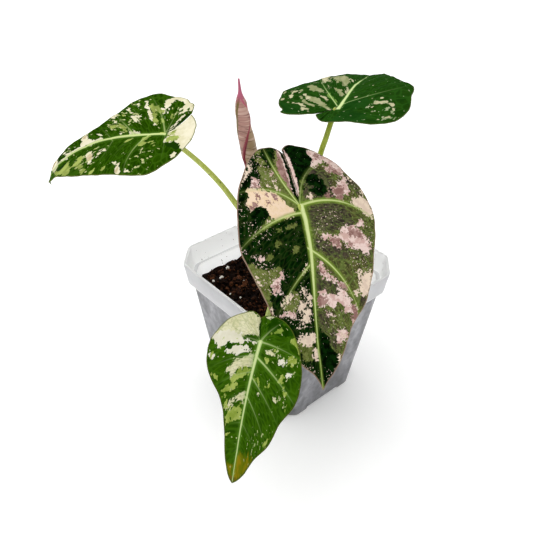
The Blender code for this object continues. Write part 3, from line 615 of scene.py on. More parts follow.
def midrib_axes(leaf, s):
    """The leaf's directions forward, across and up at places along its midrib."""
    heading, pitch, roll = (math.radians(leaf[key]) for key in ("heading", "pitch", "roll"))
    along = np.array([math.cos(heading) * math.cos(pitch), math.sin(heading) * math.cos(pitch),
                      -math.sin(pitch)])
    level = np.array([-math.sin(heading), math.cos(heading), 0])
    across = math.cos(roll) * level + math.sin(roll) * np.cross(along, level)
    up = np.cross(along, across)
    share = np.maximum(s, 0)[..., None] / leaf["length"]
    back = np.minimum(s, 0)[..., None] / leaf["lobe_reach"]
    bend = np.radians(leaf["arch"]) * share ** ARCH_EASE + np.radians(leaf["lobe_dip"]) * back
    bend += np.radians(leaf["hook"]) * np.clip(share - HOOK_FROM, 0, 1) / (1 - HOOK_FROM)
    sway, twist = np.radians(leaf["sway"]) * share, np.radians(leaf["twist"]) * share
    forward = np.cos(bend) * (np.cos(sway) * along + np.sin(sway) * across) - np.sin(bend) * up
    sideways = np.cos(sway) * across - np.sin(sway) * along
    normal = np.cross(forward, sideways)
    normal /= np.linalg.norm(normal, axis=-1, keepdims=True)
    return (forward, np.cos(twist) * sideways + np.sin(twist) * normal,
            np.cos(twist) * normal - np.sin(twist) * sideways)


def bend_leaf(leaf):
    """Returns a function that bends points (t, s) of the flat leaf into the plant's frame."""
    stops = {}
    for sign, reach in ((-1, 1.7 * leaf["lobe_reach"]), (1, leaf["length"] + 3)):
        middles = np.arange(LINE_STEP / 2, reach, LINE_STEP)
        steps = midrib_axes(leaf, sign * middles)[0] * LINE_STEP * sign
        stops[sign] = np.cumsum(steps, 0)
    line = np.concatenate([stops[-1][::-1], [[0, 0, 0]], stops[1]]) + leaf["base"]
    places = (np.arange(len(line)) - len(stops[-1])) * LINE_STEP
    fold, curl = math.radians(leaf["fold"]), math.radians(leaf["curl"]) / 10

    def bend(t, s):
        _, across, up = midrib_axes(leaf, s)
        middle = np.stack([np.interp(s, places, line[:, k]) for k in range(3)], -1)
        angle = fold - curl * np.abs(t)
        out = np.sign(t) * (math.sin(fold) - np.sin(angle)) / curl
        lift = (np.cos(angle) - math.cos(fold)) / curl
        return middle + across * out[..., None] + up * lift[..., None]

    return bend


def blade_normals(bend, t, s):
    """Upward normals of the bent leaf."""
    across = bend(t + SLOPE_STEP, s) - bend(t - SLOPE_STEP, s)
    along = bend(t, s + SLOPE_STEP) - bend(t, s - SLOPE_STEP)
    normal = np.cross(along, across)
    return normal / np.linalg.norm(normal, axis=-1, keepdims=True)


def depth_inside(polygon, points):
    """How deep points lie inside a polygon of the flat leaf, in mm, and below 0 outside it."""
    corners = np.asarray(polygon, float)
    if len(corners) < 30:
        for _ in range(2):
            following = np.roll(corners, -1, 0)
            corners = np.stack([0.75 * corners + 0.25 * following, 0.25 * corners + 0.75 * following], 1)
            corners = corners.reshape(-1, 2)
    nearest = np.full(len(points), np.inf)
    inside = np.zeros(len(points), bool)
    for a, b in zip(corners, np.roll(corners, -1, 0)):
        edge = b - a
        share = np.clip((points - a) @ edge / max(edge @ edge, 1e-9), 0, 1)
        nearest = np.minimum(nearest, np.linalg.norm(points - a - share[:, None] * edge, axis=1))
        if a[1] != b[1]:
            crosses = (a[1] > points[:, 1]) != (b[1] > points[:, 1])
            inside ^= crosses & (points[:, 0] < a[0] + (points[:, 1] - a[1]) / edge[1] * edge[0])
    return np.where(inside, nearest, -nearest)


def half_blade(leaf, side, bend):
    """One half of a blade, as the shape of its grid and, for each point, its place on the flat leaf,
    its upper and lower point, its place along the grain, its depth in a vein and that vein's vigour."""
    half = leaf["left" if side > 0 else "right"]
    slit = np.radians(last_angle(leaf, side))
    root_of_slit = SLIT_DEPTH * np.array([side * math.sin(slit), math.cos(slit)])
    cells = len(half["starts"]) + 1
    column = np.arange(cells * COLUMNS_PER_CELL + 1) / COLUMNS_PER_CELL
    starts = np.interp(column, range(cells + 1), [0, *half["starts"], leaf["length"]])
    angles = np.interp(column, range(cells + 1), [last_angle(leaf, side), *half["veins"], 0])
    margin = margin_points(leaf, side, angles)
    root = np.stack([np.zeros_like(starts), starts], -1)
    slit_pull = np.clip(1 - column, 0, 1)[:, None] ** 6
    root_end = root + (root_of_slit - root) * slit_pull
    bow = np.interp(column, range(cells + 1), [0, *half["bows"], VEIN_BOW])[:, None]
    chord = margin - root_end
    middle = root_end + chord / 2 + np.stack([chord[:, 1], -chord[:, 0]], -1) * side * bow
    r = ROWS[:, None, None]
    flat = root_end * (1 - r) ** 2 + 2 * middle * r * (1 - r) + margin * r ** 2
    flat = np.where(r == 0, root, flat)

    # The nearest side vein of each point, and that vein's strength.
    near = (np.floor(column).astype(int) * COLUMNS_PER_CELL).clip(0, len(column) - 1)
    far = (near + COLUMNS_PER_CELL).clip(0, len(column) - 1)
    weights = np.array([0, *half["weights"], 0])
    to_vein, vigour = np.full(flat.shape[:2], 99.0), np.zeros(flat.shape[:2])
    for knot in (near, far):
        apart = np.linalg.norm(flat - flat[:, knot], axis=-1)
        real = (knot > 0) & (knot < len(column) - 1)
        closer = real & (apart < to_vein)
        to_vein = np.where(closer, apart, to_vein)
        vigour = np.where(closer, weights[knot // COLUMNS_PER_CELL], vigour)

    # The lift over the plain bent sheet: the swelling between the veins, the grooves over them, the ridge
    # of the midrib with its gutters, the waves along the edge and the lap of one lobe over the other.
    r = ROWS[:, None]
    t, s = flat[..., 0], flat[..., 1]
    off_course = t - np.interp(s, *np.array(leaf["rib_course"], float).T)
    taper = np.clip(1 - np.maximum(s, 0) / leaf["length"], 0, 1) ** RIB_TAPER
    # A vein is wider where it is strong, and narrows towards the margin and the tip.
    vein_width = (0.26 + 0.3 * vigour) * (1 - 0.65 * r) * (0.45 + 0.55 * taper)
    normal = blade_normals(bend, t, s)
    margin_gap = np.linalg.norm(flat - margin, axis=-1)
    around = np.cumsum(np.linalg.norm(np.diff(margin, axis=0, prepend=margin[:1]), axis=-1))
    lift = SWELL * np.sin(np.pi * (column % 1)) ** 0.8 * 4 * r * (1 - r)
    lift = lift * np.clip(margin_gap / SWELL_EDGE, 0, 1)
    depth, width = VEIN_GROOVE
    lift -= depth * np.exp(-(to_vein / width) ** 2) * np.clip(1 - r, 0, 1)
    height, width = MIDRIB_CREST
    crest = height * np.exp(-(off_course / width) ** 2)
    depth, width, beside = MIDRIB_GUTTERS
    gutters = depth * np.exp(-((np.abs(off_course) - beside) / width) ** 2)
    lift += np.where(s > -1, 1.0, 0.0) * taper * (crest - gutters)
    wave, wave_length = leaf["ripple"]
    waves = np.sin(2 * np.pi * around / wave_length + side)
    waves = waves + 0.5 * np.sin(2 * np.pi * around / (0.43 * wave_length))
    lift += wave * waves * np.exp(-margin_gap / WAVE_REACH) * r ** 2
    slit_gap = np.abs(flat @ np.array([-math.cos(slit), side * math.sin(slit)]))
    lift += side * leaf["slit_lap"] * np.exp(-slit_gap / LAP_REACH) * np.clip(-s / 8, 0, 1)

    # The sheet thins in a round edge, and the midrib and the side veins stand out under it.
    rounding = np.sqrt(1 - (1 - np.clip(margin_gap / EDGE_ROUND, 0.02, 1)) ** 2)
    top = bend(t, s) + normal * (lift - (1 - rounding) * BLADE / 2)[..., None]
    rib = MIDRIB_UNDER * taper * np.exp(-(t / MIDRIB_HALF_WIDTH) ** 2)
    height, width = VEIN_UNDER
    side_rib = height * (1 - r) * taper * np.exp(-(to_vein / width) ** 2)
    depth = BLADE * rounding + np.maximum(rib * (s > -2), side_rib) * (r < 1)
    under = top - normal * depth[..., None]
    along_vein = r * np.linalg.norm(chord, axis=-1)
    grain = np.stack(np.broadcast_arrays(column * 6.0 + 90 * (side > 0), along_vein), -1)
    arrays = (flat, top, under, grain, vein_width - to_vein, vigour * (1 - 0.7 * r))
    return t.shape, [array.reshape(t.size, -1) for array in arrays]


def make_blade(name, leaf, patches):
    """A leaf blade with its veins, ribs and ripples. Attributes tell its material where it is on the
    leaf and how far from a vein, the margin and each patch, in mm. A patch keeps to its own half."""
    bend = bend_leaf(leaf)
    shapes, arrays = zip(*(half_blade(leaf, side, bend) for side in (1, -1)))
    flat, top, under, grain, vein, vigour = (np.concatenate(pair) for pair in zip(*arrays))
    count = len(flat)
    faces, start = [], 0
    for side, shape in zip((1, -1), shapes):
        index = np.arange(math.prod(shape)).reshape(shape) + start
        start += index.size
        a, b, c, d = index[:-1, :-1], index[:-1, 1:], index[1:, 1:], index[1:, :-1]
        quads = np.stack([a, b, c, d] if side > 0 else [a, d, c, b], -1).reshape(-1, 4)
        faces += quads.tolist() + (quads[:, ::-1] + count).tolist()
        rim_line = np.concatenate([index[1:, 0], index[-1, 1:]])
        for a, b in zip(rim_line, rim_line[1:]):
            wall = [int(a), int(b), int(b + count), int(a + count)]
            faces.append(wall[::-1] if side > 0 else wall)
    piece = make_piece(name, np.concatenate([top, under]), faces, PLANT_TURN, sharp_over=180)

    course_s, course_t = np.array(leaf["rib_course"], float).T
    outline = np.concatenate([margin_points(leaf, side, np.linspace(0, last_angle(leaf, side), 90))[::side]
                              for side in (-1, 1)])
    taper = np.clip(1 - flat[:, 1] / leaf["length"], 0, 1)
    off_rib = np.abs(flat[:, 0] - np.interp(flat[:, 1], course_s, course_t)) * (2 - taper)
    rib = np.where(flat[:, 1] > -0.5, leaf["midrib"] * (0.3 + 0.7 * taper) - off_rib, OUTSIDE)
    rib = np.maximum(rib, 1.1 * leaf["midrib"] - np.linalg.norm(flat - (course_t[0], 0.5), axis=1))
    numbers = {"vein": vein[:, 0], "vigour": vigour[:, 0], "rib": rib, "edge": depth_inside(outline, flat)}
    halves = np.repeat([1, -1], [math.prod(shape) for shape in shapes])
    for patch, polygons in patches.items():
        depth = np.full(count, OUTSIDE)
        for polygon in polygons:
            middle = np.mean(polygon, axis=0)[0]
            own = halves * middle > 0 if abs(middle) > 1 else np.ones(count, bool)
            depth = np.maximum(depth, np.where(own, depth_inside(polygon, flat), OUTSIDE))
        numbers[patch] = depth
    for key, values in numbers.items():
        keep_numbers(piece, key, np.tile(values, 2))
    keep_numbers(piece, "under", np.repeat([0.0, 1.0], count))
    for key, values in (("flat", flat), ("grain", grain)):
        vectors = np.zeros((2 * count, 3), np.float32)
        vectors[:, :2] = np.tile(values, (2, 1))
        store = piece.data.attributes.new(key, "FLOAT_VECTOR", "POINT")
        store.data.foreach_set("vector", vectors.ravel())
    bm = bmesh.new()
    bm.from_mesh(piece.data)
    bmesh.ops.remove_doubles(bm, verts=bm.verts, dist=WELD * MM)
    bmesh.ops.dissolve_degenerate(bm, edges=bm.edges, dist=SLIVER * MM)
    bmesh.ops.recalc_face_normals(bm, faces=bm.faces)
    bm.to_mesh(piece.data)
    bm.free()
    piece.data.shade_smooth()
    return piece


def blade_material(name, length, ground, ground_net, layers, flecks, veins, margin, stretch):
    """Living leaf tissue with a waxy, satin skin. Patches are laid over the green in turn, with ragged
    edges, then flecks, the net of fine veins, the large veins with their halo, and the edge.

    Ground is two tones, and ground_net the strength of its net. A layer is (patch, two tones, coarse and
    fine raggedness in mm, softness of its mottling, strength of its net, softness of its border in mm).
    Flecks are (two tones, limit of their noise). Veins are (tone, halo, net, strength, fading of the
    midrib towards the tip). Stretch draws the patches out along the veins.
    """
    material, tree, shader = start_material(name, {"Roughness": 0.46, "Specular IOR Level": LEAF_SPECULAR})
    flat, grain = (add_node(tree, "Attribute", output="Vector", attribute_name=key)
                   for key in ("flat", "grain"))
    laid = grain if stretch > 1 else flat
    # Three noises in one for each use: what it follows, its grain in mm, its detail, its stretch along the
    # veins and its roughness.
    noises = {}
    for key, vector, size, detail, pull, roughness in (
            ("coarse", laid, 3.6, 3.0, stretch, 0.6), ("fine", laid, 1.3, 2.5, stretch, 0.65),
            ("mottle", laid, 3.0, 4.0, stretch, 0.65), ("streak", grain, 0.8, 2.0, 7.0, 0.6),
            ("speck", laid, 1.1, 2.0, stretch, 0.6), ("grit", flat, 1.1, 2.0, 1.0, 0.6)):
        placed = add_node(tree, "Mapping", {"Vector": vector, "Scale": (1 / size, 1 / size / pull, 1)})
        made = add_node(tree, "TexNoise", {"Vector": placed, "Scale": 1.0, "Detail": detail,
                                           "Roughness": roughness}, "Color")
        noises[key] = add_node(tree, "SeparateColor", {"Color": made}).node.outputs
    keys = ("rib", "vein", "vigour", "edge", "under", "flecks", *(layer[0] for layer in layers))
    at = {key: add_node(tree, "Attribute", output="Fac", attribute_name=key) for key in keys}
    along = add_node(tree, "SeparateXYZ", {"Vector": flat}, "Y")
    cells = add_node(tree, "Mapping", {"Vector": grain, "Scale": (0.85, 0.17, 1)})
    cells = add_node(tree, "TexVoronoi", {"Vector": cells, "Scale": 1.0}, "Distance",
                     feature="DISTANCE_TO_EDGE")
    shade = add_node(tree, "Math", {0: noises["mottle"][0], 1: 0.5}, **TIMES)
    shade = add_node(tree, "Math", {0: noises["streak"][0], 1: 0.6, 2: shade}, **TIMES_PLUS)

    # Smooth steps from 0 to 1 between two limits, of a noise or of a distance or depth in mm.
    shares = {}
    for key, value, low, high in (
            ("light", shade, 0.42, 0.68), ("lines", cells, 0.13, 0.03), ("strong", at["vigour"], 0.1, 0.8),
            ("dots", noises["grit"][0], 0.55, 0.61), ("pores", noises["grit"][1], 0.58, 0.64),
            ("by_rib", at["rib"], -4.5, 0.0), ("rib_halo", at["rib"], -2.3, 0.1),
            ("rib", at["rib"], -0.3, 0.2), ("crest", at["rib"], 0.25, 0.8),
            ("by_vein", at["vein"], -2.6, 0.0), ("halo", at["vein"], -1.7, 0.0),
            ("vein", at["vein"], -0.25, 0.2), ("edge", at["edge"], 0.7, 0.35),
            ("outer", along, 0.95 * length, 0.3 * length)):
        shares[key] = add_node(tree, "MapRange", {"Value": value, "From Min": low, "From Max": high},
                               **SMOOTH)
    near_vein = add_node(tree, "Math", {0: shares["by_vein"], 1: at["vigour"]}, **TIMES)
    near_vein = add_node(tree, "Math", {0: shares["by_rib"], 1: near_vein}, operation="MAXIMUM")

    tint = add_node(tree, "Mix", {0: shares["light"], 6: colour(ground[0]), 7: colour(ground[1])}, **COLOURS)
    net_coats = ((near_vein, 0.6, "#56701f"), (shares["dots"], 0.6, "#262a14"),
                 (shares["pores"], 0.5, "#8d9a52"))
    net_share = ground_net
    for number, (key, tones, wide, narrow, softness, net, border) in enumerate(layers):
        coarse, fine = noises["coarse"][number % 3], noises["fine"][(number + number // 3) % 3]
        depth = add_node(tree, "Math", {0: coarse, 1: 10 * wide, 2: at[key]}, **TIMES_PLUS)
        depth = add_node(tree, "Math", {0: fine, 1: 8 * narrow, 2: depth}, **TIMES_PLUS)
        level = 5 * wide + 4 * narrow
        there = add_node(tree, "MapRange", {"Value": depth, "From Min": level - border,
                                            "From Max": level + min(border, 0.3)}, **SMOOTH)
        blend = add_node(tree, "MapRange", {"Value": noises["mottle"][(number + 1) % 3],
                                            "From Min": 0.5 - softness, "From Max": 0.5 + softness}, **SMOOTH)
        tone = add_node(tree, "Mix", {0: blend, 6: colour(tones[0]), 7: colour(tones[1])}, **COLOURS)
        for share, strength, green in net_coats if net else ():
            share = add_node(tree, "Math", {0: share, 1: strength * net}, **TIMES)
            tone = add_node(tree, "Mix", {0: share, 6: tone, 7: colour(green)}, **COLOURS)
        tint = add_node(tree, "Mix", {0: there, 6: tint, 7: tone}, **COLOURS)
        net_share = add_node(tree, "Mix", {0: there, 2: net_share, 3: net})

    fleck_tones, limit = flecks
    near = add_node(tree, "Clamp", {"Value": at["flecks"], "Min": -2.0, "Max": 3.0})
    near = add_node(tree, "Math", {0: near, 1: 0.02, 2: noises["speck"][0]}, **TIMES_PLUS)
    flecked = add_node(tree, "MapRange", {"Value": near, "From Min": limit, "From Max": limit + 0.012},
                       **SMOOTH)
    fleck = add_node(tree, "Mix", {0: noises["speck"][1], 6: colour(fleck_tones[0]),
                                   7: colour(fleck_tones[1])}, **COLOURS)
    tint = add_node(tree, "Mix", {0: flecked, 6: tint, 7: fleck}, **COLOURS)

    vein_tone, halo_tone, lines_tone, strength, fade = veins
    bright = add_node(tree, "Math", {0: shares["outer"], 1: fade, 2: 1 - fade}, **TIMES_PLUS)
    rib_tone = add_node(tree, "Mix", {0: bright, 6: colour(halo_tone), 7: colour(vein_tone)}, **COLOURS)
    # Coats over the patches: where each lies, what weakens it, its strength and its tone.
    for share, by, most, tone in (
            (shares["lines"], net_share, 0.6, colour(lines_tone)),
            (shares["rib_halo"], 1.0, 0.7 * strength, colour(halo_tone)),
            (shares["halo"], shares["strong"], 0.85 * strength, colour(halo_tone)),
            (shares["vein"], shares["strong"], 0.9, colour(vein_tone)), (shares["rib"], 1.0, 0.95, rib_tone),
            # The pale line along the midrib's crest is a painted highlight.
            (shares["crest"], bright, 0.6, colour("#d6e2a6")), (shares["edge"], 1.0, 0.8, colour(margin)),
            (at["under"], 1.0, 0.5, colour("#9cab86"))):
        most = add_node(tree, "Math", {0: by, 1: most}, **TIMES)
        share = add_node(tree, "Math", {0: share, 1: most}, **TIMES)
        tint = add_node(tree, "Mix", {0: share, 6: tint, 7: tone}, **COLOURS)
    skin = add_node(tree, "Bump", {"Height": noises["streak"][1], "Strength": 0.3, "Distance": 0.3 * MM})
    set_inputs(shader, {"Base Color": tint, "Normal": skin})
    return material
